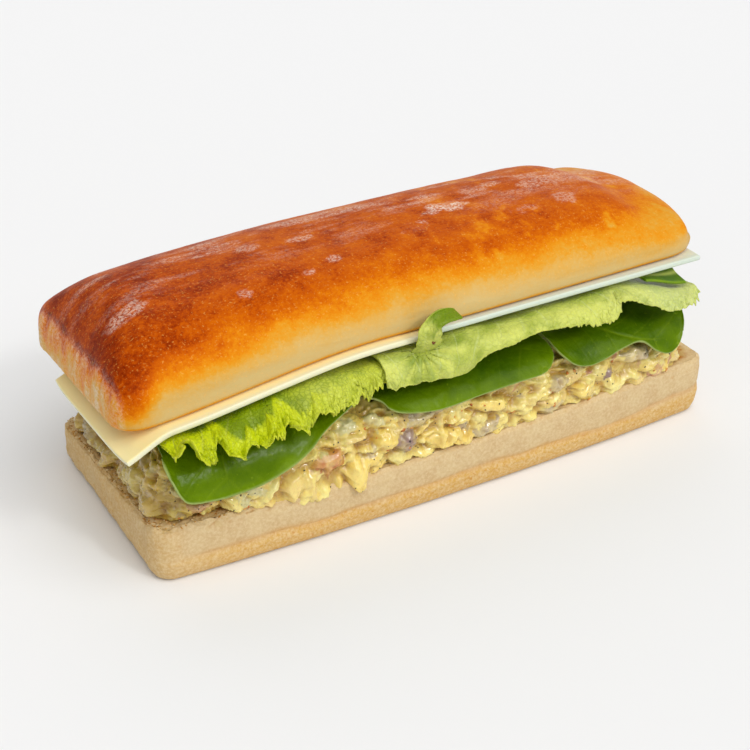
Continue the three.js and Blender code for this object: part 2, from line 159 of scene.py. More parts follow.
def read_curve(points: Curve, x: Array) -> Array:
    """Height of a smooth curve through a few points, read by its first coordinate.

    The curve is a uniform Catmull-Rom spline with its end points doubled, sampled and read linearly.

    Args:
        points: the knots, or rows of an array, in the order of their first coordinate.
        x: where it is read.

    Returns:
        Its second coordinate at each x.
    """
    knots = np.array(points, float)
    t = np.linspace(0.0, len(knots) - 1.0, 40 * len(knots) + 1)
    span = np.minimum(t.astype(int), len(knots) - 2)
    w = (t - span)[:, None]
    before = knots[np.maximum(span - 1, 0)]
    first, second = knots[span], knots[span + 1]
    after = knots[np.minimum(span + 2, len(knots) - 1)]
    slope_in, slope_out = (second - before) / 2.0, (after - first) / 2.0
    cubic = (2 * first - 2 * second + slope_in + slope_out) * w**3
    square = (-3 * first + 3 * second - 2 * slope_in - slope_out) * w**2
    samples = cubic + square + slope_in * w + first
    return np.interp(x, samples[:, 0], samples[:, 1])


# Shared heights of the stack, all in mm


@dataclass(frozen=True)
class Stack:
    """Heights that carry the layers: each is a surface over the length x and the depth y of the sandwich."""

    base_height: float = 15.7
    base_slope: float = 0.9
    base_sag: float = 1.8
    cut_height: float = 63.1
    cut_droop: float = 9.2
    cut_droop_span: tuple[float, float] = (22.0, 112.0)
    cut_near: float = -38.0
    cheese_thickness: float = 2.6
    cheese_droop: float = 6.6
    cheese_droop_span: tuple[float, float] = (93.0, 114.0)
    salad_top: float = 39.4
    fold_line: float = -34.0

    def base_top(self, x: Array, y: Array) -> Array:
        """Cut face of the lower half: level, with its ends raised, leaning down to the far side."""
        along = x / 100.0
        return self.base_height + self.base_slope * along + self.base_sag * along**2 - STACK_LEAN * y

    def salad_rise(self, x: Array, y: Array) -> Array:
        """Height of the heap of salad over the cut face that carries it."""
        return self.salad_top - STACK_LEAN * (y - self.fold_line) - self.base_top(x, y) - GAP

    def bun_cut(self, x: Array, y: Array) -> Array:
        """Cut face of the upper half: level, with its left end hanging lower."""
        droop = self.cut_droop * smoothstep(-x, *self.cut_droop_span)
        return self.cut_height - droop - STACK_LEAN * (y - self.cut_near)

    def cheese_under(self, x: Array, y: Array) -> Array:
        """Underside of the cheese, which hangs lower where it passes the left end of the bread."""
        hang = self.cheese_droop * smoothstep(-x, *self.cheese_droop_span)
        return self.bun_cut(x, y) - hang - GAP - self.cheese_thickness


STACK = Stack()


# Surfaces on grids


@dataclass(frozen=True)
class Outline:
    """Rounded oblong seen from above, from the middle of the right end round the far side."""

    left: float
    right: float
    width: float
    barrel: float
    corner_left: float
    corner_right: float

    def ring(self, count: int, crowd: float = 0.0, crowd_at: float = 0.72) -> dict[str, Array]:
        """Places on the outline.

        The far half is line, arc, line, arc, line; the near half mirrors it, and both long sides bow out by a
        parabola. Crowd draws the places together round the share crowd_at of the way.

        Returns:
            Place x and y, outward direction out_x and out_y, and the place on the middle line, spine.
        """
        turn = np.arange(count) / count
        turn = turn + crowd * np.sin(2 * np.pi * (turn - crowd_at + 0.5)) / (2 * np.pi)
        turn = np.mod(turn, 1.0)
        half_turn = np.where(turn > 0.5, 1.0 - turn, turn) * 2.0
        side = np.where(turn > 0.5, -1.0, 1.0)
        half = self.width / 2 - self.barrel
        lengths = [
            half - self.corner_right,
            self.corner_right * np.pi / 2,
            self.right - self.left - self.corner_right - self.corner_left,
            self.corner_left * np.pi / 2,
            half - self.corner_left,
        ]
        ends = np.cumsum([0.0, *lengths])
        way = half_turn * ends[-1]
        on_right = (way - ends[1]) / self.corner_right
        on_left = (way - ends[3]) / self.corner_left + np.pi / 2
        parts = [way < ends[1], way < ends[2], way < ends[3], way < ends[4], way <= ends[5]]
        x = np.select(
            parts,
            [
                self.right,
                self.right - self.corner_right + self.corner_right * np.cos(on_right),
                self.right - self.corner_right - (way - ends[2]),
                self.left + self.corner_left + self.corner_left * np.cos(on_left),
                self.left,
            ],
            self.left,
        )
        y = np.select(
            parts,
            [
                way,
                half - self.corner_right + self.corner_right * np.sin(on_right),
                half,
                half - self.corner_left + self.corner_left * np.sin(on_left),
                half - self.corner_left - (way - ends[4]),
            ],
            0.0,
        )
        middle, reach = (self.left + self.right) / 2, (self.right - self.left) / 2
        y = side * y * (1 + self.barrel / half * (1 - ((x - middle) / reach) ** 2))
        dx, dy = np.roll(x, -1) - np.roll(x, 1), np.roll(y, -1) - np.roll(y, 1)
        length = np.hypot(dx, dy)
        spine = np.clip(x, self.left + self.width / 2, self.right - self.width / 2)
        return {"x": x, "y": y, "out_x": dy / length, "out_y": -dx / length, "spine": spine}


def pulled_in(ring: dict[str, Array], share: Array) -> tuple[Array, Array]:
    """Outline pulled in towards its middle line: share 1 outside, 0 on the line, one row for each share."""
    column = np.asarray(share, float).reshape(-1, 1) if np.ndim(share) == 1 else share
    return mix(ring["spine"], ring["x"], column), ring["y"] * column


def grid_normals(points: Array, wraps: bool) -> Array:
    """Unit normals of a grid of rows and columns, from the cross product of its two central differences."""
    if wraps:
        along = np.roll(points, -1, axis=1) - np.roll(points, 1, axis=1)
    else:
        along = np.gradient(points, axis=1)
    across = np.gradient(points, axis=0)
    normal = np.cross(along, across)
    length = np.linalg.norm(normal, axis=-1, keepdims=True)
    return normal / np.maximum(length, 1e-9)


def averaged(grid: Array, axis: int, step: int, middle: int) -> Array:
    """Grid averaged with its neighbours a step away on both sides, and with itself, counted middle times.

    Args:
        grid: numbers by row and column.
        axis: 0 to average rows, which end at the grid's edge, or 1 to average columns, which go round.
        step: how many rows or columns away the neighbours are.
        middle: weight of the number itself.

    Returns:
        The averaged grid.
    """
    if axis == 0:
        padded = np.pad(grid, ((step, step), (0, 0)), mode="edge")
        before, after = padded[: -2 * step], padded[2 * step:]
    else:
        before, after = np.roll(grid, step, 1), np.roll(grid, -step, 1)
    return (before + middle * grid + after) / (2 + middle)


def grid_faces(rows: int, columns: int, wraps: bool, first: int = 0) -> Array:
    """Quads of a grid, each turned counterclockwise along a row and up to the next."""
    last = columns if wraps else columns - 1
    row, column = np.meshgrid(np.arange(rows - 1), np.arange(last), indexing="ij")
    a = row * columns + column
    b = row * columns + (column + 1) % columns
    return first + np.stack([a, b, b + columns, a + columns], axis=-1).reshape(-1, 4)


@dataclass
class Surface:
    """Points, quads and the attributes that a material reads, before they become a mesh."""

    points: Array
    faces: Array
    values: dict[str, Array] = field(default_factory=dict)

    @staticmethod
    def joined(parts: Sequence["Surface"]) -> "Surface":
        """One surface out of several, with the same attributes."""
        starts = np.cumsum([0, *[len(part.points) for part in parts]])
        names = parts[0].values.keys()
        return Surface(
            np.concatenate([part.points for part in parts]),
            np.concatenate([part.faces + start for part, start in zip(parts, starts)]),
            {name: np.concatenate([part.values[name] for part in parts]) for name in names},
        )


def make_piece(
    name: str, surface: Surface, material: bpy.types.Material, replaces: Sequence[str] = ()
) -> None:
    """Turns a surface into a piece of the sandwich that rides on its body, with its place in its mesh.

    Args:
        name: the piece's name.
        surface: points in mm, faces and attributes; points doubled at a pole become one.
        material: its finish.
        replaces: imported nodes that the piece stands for.
    """
    mesh = bpy.data.meshes.new(name)
    count = len(surface.points)
    mesh.vertices.add(count)
    mesh.vertices.foreach_set("co", (surface.points * MM).astype(np.float32).ravel())
    mesh.loops.add(surface.faces.size)
    mesh.loops.foreach_set("vertex_index", surface.faces.astype(np.int32).ravel())
    mesh.polygons.add(len(surface.faces))
    corners = surface.faces.shape[1]
    mesh.polygons.foreach_set("loop_start", np.arange(0, surface.faces.size, corners, dtype=np.int32))
    for label, data in surface.values.items():
        if data.ndim == 2:
            layer = mesh.attributes.new(label, "FLOAT_COLOR", "POINT")
            full = np.concatenate([data, np.ones((count, 1))], axis=1)
            layer.data.foreach_set("color", full.astype(np.float32).ravel())
        else:
            layer = mesh.attributes.new(label, "FLOAT", "POINT")
            layer.data.foreach_set("value", data.astype(np.float32).ravel())
    mesh.update(calc_edges=True)
    mesh.validate()
    work = bmesh.new()
    work.from_mesh(mesh)
    bmesh.ops.remove_doubles(work, verts=work.verts, dist=WELD_MM * MM)
    work.to_mesh(mesh)
    work.free()
    mesh.polygons.foreach_set("use_smooth", np.ones(len(mesh.polygons), dtype=bool))
    mesh.materials.append(material)
    piece = bpy.data.objects.new(name, mesh)
    bpy.context.scene.collection.objects.link(piece)
    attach(piece, BODY)
    if replaces:
        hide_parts(*replaces)
    LOG.info("%s: %d faces", name, len(mesh.polygons))


def sheet(middle: Array, thickness: Array, values: dict[str, Array]) -> Surface:
    """Thin solid round a grid of middle points: both faces stand half the thickness off along the normal.

    Args:
        middle: grid of points, rows by columns.
        thickness: one number, or one for each point.
        values: attributes for each point of the grid.

    Returns:
        A closed surface, both faces split alike, with a rim round them.
    """
    rows, columns = middle.shape[:2]
    lift = grid_normals(middle, wraps=False) * (np.broadcast_to(thickness, (rows, columns)) / 2)[..., None]
    points = np.concatenate([(middle + lift).reshape(-1, 3), (middle - lift).reshape(-1, 3)])
    upper = grid_faces(rows, columns, wraps=False)
    lower = upper[:, ::-1] + rows * columns
    index = np.arange(rows * columns).reshape(rows, columns)
    rim = np.concatenate([index[0], index[1:, -1], index[-1, -2::-1], index[-2:0:-1, 0]])
    after = np.roll(rim, -1)
    under = rows * columns
    edge = np.stack([rim, rim + under, after + under, after], axis=-1)
    doubled = {label: np.tile(data.ravel(), 2) for label, data in values.items()}
    return Surface(points, np.concatenate([upper, lower, edge]), doubled)


OCTAHEDRON_CORNERS = np.array([[1, 0, 0], [0, 1, 0], [-1, 0, 0], [0, -1, 0], [0, 0, 1], [0, 0, -1]], float)
OCTAHEDRON_FACES = np.array(
    [[0, 1, 4], [1, 2, 4], [2, 3, 4], [3, 0, 4], [1, 0, 5], [2, 1, 5], [3, 2, 5], [0, 3, 5]]
)


def grains(
    centre: Array,
    normal: Array,
    size: float,
    stretch: float,
    colours: Sequence[Colour],
    draw: np.random.Generator,
) -> Surface:
    """Small flat-sided grains, half sunk: each is an octahedron whose corners are drawn in and out.

    Args:
        centre: place of each in mm.
        normal: outward direction at each place.
        size: mean half size in mm.
        stretch: how much longer than wide the longest is.
        colours: linear colours to draw from.
        draw: the random sequence.

    Returns:
        All grains as one surface of triangles.
    """
    count = len(centre)
    tangent = np.cross(normal, draw.normal(size=(count, 3)))
    tangent /= np.linalg.norm(tangent, axis=1, keepdims=True)
    axes = np.stack([tangent, np.cross(normal, tangent), normal], axis=1)
    lengths = np.stack([draw.uniform(1.0, stretch, count), np.ones(count), 0.6 * np.ones(count)], axis=1)
    sizes = size * draw.uniform(0.55, 1.5, (count, 1)) * lengths
    local = OCTAHEDRON_CORNERS[None] * sizes[:, None, :] * draw.uniform(0.75, 1.25, (count, 6, 1))
    points = centre[:, None, :] + np.einsum("nij,njk->nik", local, axes)
    faces = (OCTAHEDRON_FACES[None] + 6 * np.arange(count)[:, None, None]).reshape(-1, 3)
    tint = np.array(colours)[draw.integers(len(colours), size=count)]
    return Surface(points.reshape(-1, 3), faces, {"tint": np.repeat(tint, 6, axis=0)})


# Materials


class Graph:
    """Adds nodes to one node tree, sets their values and links them."""

    def __init__(self, tree: bpy.types.NodeTree) -> None:
        """Keeps the tree."""
        self.tree = tree

    def feed(self, node: bpy.types.Node, inputs: dict) -> None:
        """Sets the node's inputs: socket name or number to a value, or to an output socket to link."""
        for label, value in inputs.items():
            if isinstance(value, Socket):
                self.tree.links.new(value, node.inputs[label])
            elif isinstance(value, tuple) and len(value) == 3 and node.inputs[label].type == "RGBA":
                node.inputs[label].default_value = (*value, 1.0)
            else:
                node.inputs[label].default_value = value

    def add(self, kind: str, inputs: dict | None = None, **settings: object) -> bpy.types.Node:
        """A new node of that kind, with its own properties and then its inputs set."""
        node = self.tree.nodes.new(kind)
        for label, value in settings.items():
            setattr(node, label, value)
        self.feed(node, inputs or {})
        return node

    def math(self, operation: str, first: Input, second: Input, clamp: bool = False) -> Socket:
        """Result of one sum on two numbers or sockets."""
        node = self.add("ShaderNodeMath", {0: first, 1: second}, operation=operation, use_clamp=clamp)
        return node.outputs[0]

    def plus(self, first: Input, second: Input, clamp: bool = False) -> Socket:
        """First plus second."""
        return self.math("ADD", first, second, clamp)

    def minus(self, first: Input, second: Input) -> Socket:
        """First minus second."""
        return self.math("SUBTRACT", first, second)

    def times(self, first: Input, second: Input, clamp: bool = False) -> Socket:
        """First times second."""
        return self.math("MULTIPLY", first, second, clamp)

    def noise(self, vector: Socket, size_mm: float, detail: float = 3.0, roughness: float = 0.5) -> Socket:
        """Noise between 0 and 1 with features of that size in mm."""
        values = {"Vector": vector, "Scale": 1.0 / (size_mm * MM), "Detail": detail, "Roughness": roughness}
        return self.add("ShaderNodeTexNoise", values).outputs["Fac"]

    def swing(
        self, vector: Socket, size_mm: float, reach: float, detail: float, roughness: float = 0.5
    ) -> Socket:
        """Noise about zero, as wide as the reach from its lowest to its highest."""
        return self.times(self.minus(self.noise(vector, size_mm, detail, roughness), 0.5), reach)

    def ramp(self, factor: Input, stops: Sequence[tuple[float, Colour]]) -> Socket:
        """Colour read from a ramp of stops."""
        node = self.add("ShaderNodeValToRGB", {"Fac": factor})
        elements = node.color_ramp.elements
        for place, colour in stops[len(elements):]:
            elements.new(place)
        for element, (place, colour) in zip(elements, stops):
            element.position = place
            element.color = (*colour, 1.0)
        return node.outputs["Color"]

    def blend(self, factor: Input, first: Input, second: Input, kind: str = "MIX") -> Socket:
        """Mix of two colours."""
        inputs = {0: factor, 6: first, 7: second}
        return self.add("ShaderNodeMix", inputs, data_type="RGBA", blend_type=kind).outputs[2]

    def dab(self, colour: Input, over: Colour, mask: Input, share: float) -> Socket:
        """Colour with another laid over it where the mask is, at that share."""
        return self.blend(self.times(mask, share), colour, over)

    def span(
        self, value: Input, low: float, high: float, to_low: float = 0.0, to_high: float = 1.0
    ) -> Socket:
        """Smooth change of a value from one span to another, held at its ends."""
        inputs = {"Value": value, "From Min": low, "From Max": high, "To Min": to_low, "To Max": to_high}
        return self.add("ShaderNodeMapRange", inputs, interpolation_type="SMOOTHSTEP").outputs["Result"]

    def attribute(self, label: str, output: str = "Fac") -> Socket:
        """A mesh attribute, as a number or a colour."""
        return self.add("ShaderNodeAttribute", attribute_name=label).outputs[output]

    def effect(self, tree: bpy.types.NodeTree, **inputs: Input) -> Socket:
        """Result of a shared group that is placed with its own values."""
        return self.add("ShaderNodeGroup", inputs, node_tree=tree).outputs[0]


def shared_group(name: str, inputs: dict[str, str], outputs: dict[str, str]) -> tuple:
    """New shader group with named sockets.

    Args:
        name: the group's name.
        inputs: name and type of each input socket.
        outputs: the same for each output socket.

    Returns:
        The group, its graph, its input node and its output node.
    """
    tree = bpy.data.node_groups.new(name, "ShaderNodeTree")
    for label, kind in inputs.items():
        tree.interface.new_socket(label, in_out="INPUT", socket_type=kind)
    for label, kind in outputs.items():
        tree.interface.new_socket(label, in_out="OUTPUT", socket_type=kind)
    graph = Graph(tree)
    return tree, graph, graph.add("NodeGroupInput"), graph.add("NodeGroupOutput")


class Effects:
    """Shader groups that more than one finish uses."""

    def __init__(self) -> None:
        """Builds the groups once."""
        self.grain = self._grain()
        self.speckle = self._speckle()

    @staticmethod
    def _grain() -> bpy.types.NodeTree:
        """Height of a fine uneven skin: coarse noise plus a quarter of noise four times finer."""
        number, vector = "NodeSocketFloat", "NodeSocketVector"
        inputs = {"Place": vector, "Scale": number}
        tree, graph, given, result = shared_group("grain", inputs, {"Height": number})
        fine_scale = graph.times(given.outputs["Scale"], 4.0)
        place = {"Vector": given.outputs["Place"], "Detail": 3.0}
        coarse, fine = (
            graph.add("ShaderNodeTexNoise", {**place, "Scale": scale}).outputs["Fac"]
            for scale in (given.outputs["Scale"], fine_scale)
        )
        graph.feed(result, {"Height": graph.plus(coarse, graph.times(fine, 0.25))})
        return tree

    @staticmethod
    def _speckle() -> bpy.types.NodeTree:
        """Mask of small separate specks: noise cut off over a threshold."""
        number, vector = "NodeSocketFloat", "NodeSocketVector"
        inputs = {"Place": vector, "Scale": number, "Threshold": number, "Softness": number}
        tree, graph, given, result = shared_group("speckle", inputs, {"Mask": number})
        values = {"Vector": given.outputs["Place"], "Scale": given.outputs["Scale"]}
        noise = graph.add("ShaderNodeTexNoise", {**values, "Detail": 2.0, "Roughness": 0.6}).outputs["Fac"]
        over = graph.minus(noise, given.outputs["Threshold"])
        graph.feed(result, {"Mask": graph.math("DIVIDE", over, given.outputs["Softness"], clamp=True)})
        return tree


@dataclass(frozen=True)
class Finish:
    """Base of all finishes: what the shader holds the same all over, and the steps that all of them share."""

    name: str
    roughness: float = 0.6
    specular: float = 0.5
    specular_tint: Colour = (1.0, 1.0, 1.0)
    coat: float = 0.0
    coat_roughness: float = 0.2
    subsurface: float = 0.0
    subsurface_radius: tuple[float, float, float] = (1.0, 0.5, 0.2)
    subsurface_mm: float = 1.0
    relief_mm: float = 0.1
    grain_scale: float = 1000.0
    relief_strength: float = 0.6

    def material(self, effects: Effects) -> bpy.types.Material:
        """New material: even values on the shader, then what paint works out, then the relief as a bump."""
        material = bpy.data.materials.new(self.name)
        material.use_nodes = True
        graph, shader = Graph(material.node_tree), material.node_tree.nodes["Principled BSDF"]
        graph.feed(shader, {
            "Roughness": self.roughness,
            "Specular IOR Level": self.specular,
            "Specular Tint": self.specular_tint,
            "Coat Weight": self.coat,
            "Coat Roughness": self.coat_roughness,
        })
        if self.subsurface:
            graph.feed(shader, {
                "Subsurface Weight": self.subsurface,
                "Subsurface Radius": self.subsurface_radius,
                "Subsurface Scale": self.subsurface_mm * MM,
            })
        place = graph.add("ShaderNodeTexCoord").outputs["Object"]
        grain = graph.effect(effects.grain, Place=place, Scale=self.grain_scale)
        painted = self.paint(graph, place, grain, effects)
        height = {"Height": painted.pop("Height", grain), "Distance": self.relief_mm * MM}
        bump = graph.add("ShaderNodeBump", {**height, "Strength": self.relief_strength})
        graph.feed(shader, {**painted, "Normal": bump.outputs["Normal"]})
        return material

    def paint(self, graph: Graph, place: Socket, grain: Socket, effects: Effects) -> dict[str, Socket]:
        """Shader inputs that vary over the surface, and Height where the relief is more than the grain."""
        raise NotImplementedError


@dataclass(frozen=True)
class CrustFinish(Finish):
    """Baked crust: its colour follows how brown it is baked, with a painted warm shade along its lower lip,
    and flour lies over it.
    """

    grain_scale: float = 1100.0
    stops: tuple[tuple[float, Colour], ...] = (
        (0.0, srgb(214, 185, 122)),
        (0.14, srgb(219, 172, 88)),
        (0.28, srgb(223, 158, 50)),
        (0.40, srgb(226, 146, 26)),
        (0.50, srgb(224, 132, 12)),
        (0.60, srgb(216, 114, 4)),
        (0.70, srgb(204, 96, 2)),
        (0.80, srgb(190, 80, 1)),
        (0.90, srgb(158, 54, 0)),
        (1.0, srgb(124, 34, 0)),
    )
    flour: Colour = srgb(242, 220, 202)
    floury_roughness: float = 0.85
    pore: Colour = srgb(246, 186, 92)

    def paint(self, graph: Graph, place: Socket, grain: Socket, effects: Effects) -> dict[str, Socket]:
        """Browning and the painted lip shade, plus fine mottling through a ramp, pale specks, then flour over
        all.
        """
        browning_and_lip_shade = graph.attribute("browning_and_lip_shade")
        uneven_bake = graph.plus(graph.swing(place, 1.3, 0.5, 4.0, 0.75), graph.swing(place, 8.0, 0.42, 3.0))
        shift = graph.times(uneven_bake, graph.span(browning_and_lip_shade, 0.0, 0.35, 0.25, 1.0))
        colour = graph.ramp(graph.plus(browning_and_lip_shade, shift), self.stops)
        specks = graph.effect(effects.speckle, Place=place, Scale=1300.0, Threshold=0.6, Softness=0.12)
        colour = graph.dab(colour, self.pore, specks, 0.38)
        dust = graph.span(graph.noise(place, 0.9, 4.0, 0.8), 0.4, 0.62)
        cover = graph.times(graph.attribute("flour"), dust, clamp=True)
        return {
            "Base Color": graph.blend(cover, colour, self.flour),
            "Roughness": graph.span(cover, 0.0, 0.6, self.roughness, self.floury_roughness),
        }


@dataclass(frozen=True)
class BreadFinish(Finish):
    """Pale crust of the lower half, golden near the bottom and brown where the crumb is open."""

    grain_scale: float = 900.0
    relief_strength: float = 0.7
    pale: Colour = srgb(213, 186, 138)
    grey: Colour = srgb(204, 172, 124)
    golden: Colour = srgb(210, 164, 84)
    flour: Colour = srgb(232, 212, 170)
    # Amber of the specks, and of the painted shade in the crease.
    amber_specks_and_crease_shade: Colour = srgb(196, 128, 44)
    crumb: Colour = srgb(196, 163, 98)
    soaked: Colour = srgb(176, 116, 38)

    def paint(self, graph: Graph, place: Socket, grain: Socket, effects: Effects) -> dict[str, Socket]:
        """Mottled beige, speckled gold low down, painted shade in the crease, and brown with orange in the
        open crumb.
        """
        beige = graph.blend(graph.span(graph.noise(place, 9.0, 4.0, 0.7), 0.35, 0.65), self.pale, self.grey)
        fine = graph.span(graph.noise(place, 1.0, 4.0, 0.75), 0.35, 0.68)
        beige = graph.dab(beige, self.flour, fine, 0.5)
        gold = graph.dab(self.golden, self.flour, fine, 0.6)
        spots = graph.effect(effects.speckle, Place=place, Scale=620.0, Threshold=0.6, Softness=0.12)
        colour = graph.blend(graph.attribute("golden"), beige, graph.dab(gold, self.amber_specks_and_crease_shade, spots, 0.55))
        rust = graph.effect(effects.speckle, Place=place, Scale=420.0, Threshold=0.68, Softness=0.06)
        colour = graph.dab(colour, self.amber_specks_and_crease_shade, rust, 0.3)
        # Painted shade: amber along the crease.
        colour = graph.dab(colour, self.amber_specks_and_crease_shade, graph.attribute("painted_crease_shade"), 0.28)
        brown = graph.blend(graph.span(graph.noise(place, 2.2, 3.0), 0.42, 0.62), self.crumb, self.soaked)
        return {"Base Color": graph.blend(graph.attribute("open_crumb"), colour, brown)}


@dataclass(frozen=True)
class TintFinish(Finish):
    """Moist food whose colour is worked out point by point and kept in the mesh."""

    blotch_mm: float = 1.2
    grain_scale: float = 1000.0 / 1.2
    variation: float = 0.18
    shade: Colour = srgb(176, 130, 62)
    gloss_swing: float = 0.3

    def paint(self, graph: Graph, place: Socket, grain: Socket, effects: Effects) -> dict[str, Socket]:
        """Mesh colour with finer blotches of a darker shade, and an uneven gloss."""
        blotch = graph.span(graph.noise(place, self.blotch_mm, 3.0, 0.65), 0.45, 0.75, 0.0, self.variation)
        low, high = self.roughness * (1 - self.gloss_swing), self.roughness * (1 + self.gloss_swing)
        return {
            "Base Color": graph.blend(blotch, graph.attribute("tint", "Color"), self.shade, "MULTIPLY"),
            "Roughness": graph.span(graph.noise(place, 2.2, 2.0), 0.3, 0.7, low, high),
        }


@dataclass(frozen=True)
class LeafFinish(Finish):
    """Leaf: two greens by an attribute and a slow noise, lighter veins and a pale rim; the darker green also
    stands for painted shade, and the rim is partly a painted highlight.
    """

    grain_scale: float = 800.0
    relief_strength: float = 0.8
    deep: Colour = srgb(40, 96, 8)
    lighter_green: Colour = srgb(84, 140, 20)
    vein: Colour = srgb(150, 180, 80)
    # Pale rim colour: the leaf edge, partly a painted highlight along it.
    rim: Colour = srgb(120, 170, 70)
    vein_share: float = 0.5
    cell_mm: float = 0.0
    cell_share: float = 0.4
    speck_share: float = 0.0

    def cell_groove(self, graph: Graph, place: Socket) -> Socket:
        """Low along the borders between small uneven cells, 1 inside them."""
        bent = graph.add("ShaderNodeTexNoise", {"Vector": place, "Scale": 0.5 / (self.cell_mm * MM)})
        shift = {0: bent.outputs["Color"], "Scale": 0.8 * self.cell_mm * MM}
        shift = graph.add("ShaderNodeVectorMath", shift, operation="SCALE").outputs[0]
        moved = graph.add("ShaderNodeVectorMath", {0: place, 1: shift}, operation="ADD").outputs[0]
        values = {"Vector": moved, "Scale": 1.0 / (self.cell_mm * MM)}
        cells = graph.add("ShaderNodeTexVoronoi", values, feature="DISTANCE_TO_EDGE")
        return graph.span(cells.outputs["Distance"], 0.0, 0.16)

    def paint(self, graph: Graph, place: Socket, grain: Socket, effects: Effects) -> dict[str, Socket]:
        """Greens by an attribute and noise, with painted shade and painted highlight in it; veins and the
        rim, partly a painted highlight, over them; cells as fine lines if asked.
        """
        level = graph.plus(graph.attribute("lighter_green"), graph.swing(place, 7.0, 0.9, 4.0, 0.6), clamp=True)
        veins = graph.times(graph.attribute("vein"), self.vein_share, clamp=True)
        colour = graph.blend(veins, graph.blend(level, self.deep, self.lighter_green), self.vein)
        colour = graph.blend(graph.attribute("rim"), colour, self.rim)
        if self.speck_share:
            specks = graph.effect(effects.speckle, Place=place, Scale=700.0, Threshold=0.66, Softness=0.08)
            colour = graph.dab(colour, self.vein, specks, self.speck_share)
        if not self.cell_mm:
            return {"Base Color": colour}
        groove = self.cell_groove(graph, place)
        share = graph.minus(self.cell_share, graph.times(level, 0.8 * self.cell_share))
        line = graph.times(graph.minus(1.0, groove), share)
        return {
            "Base Color": graph.blend(line, colour, self.deep),
            "Height": graph.plus(graph.times(grain, 0.5), groove),
        }


@dataclass(frozen=True)
class CheeseFinish(Finish):
    """Sliced cheese: smooth, with a faintly cooler cut edge that is painted cool light from the front below.
    """

    grain_scale: float = 500.0
    relief_strength: float = 0.25
    face: Colour = srgb(240, 218, 160)
    # Cooler colour of the cut edge: painted cool light from the front below.
    edge: Colour = srgb(232, 230, 205)

    def paint(self, graph: Graph, place: Socket, grain: Socket, effects: Effects) -> dict[str, Socket]:
        """Face colour with slight clouds, mixed to the painted cool light of the cut edge by the edge
        attribute.
        """
        cloud = graph.span(graph.noise(place, 14.0, 3.0), 0.3, 0.7, 0.0, 0.12)
        colour = graph.blend(graph.attribute("edge"), self.face, self.edge)
        return {"Base Color": graph.blend(cloud, colour, self.edge)}


# Lower half of the roll


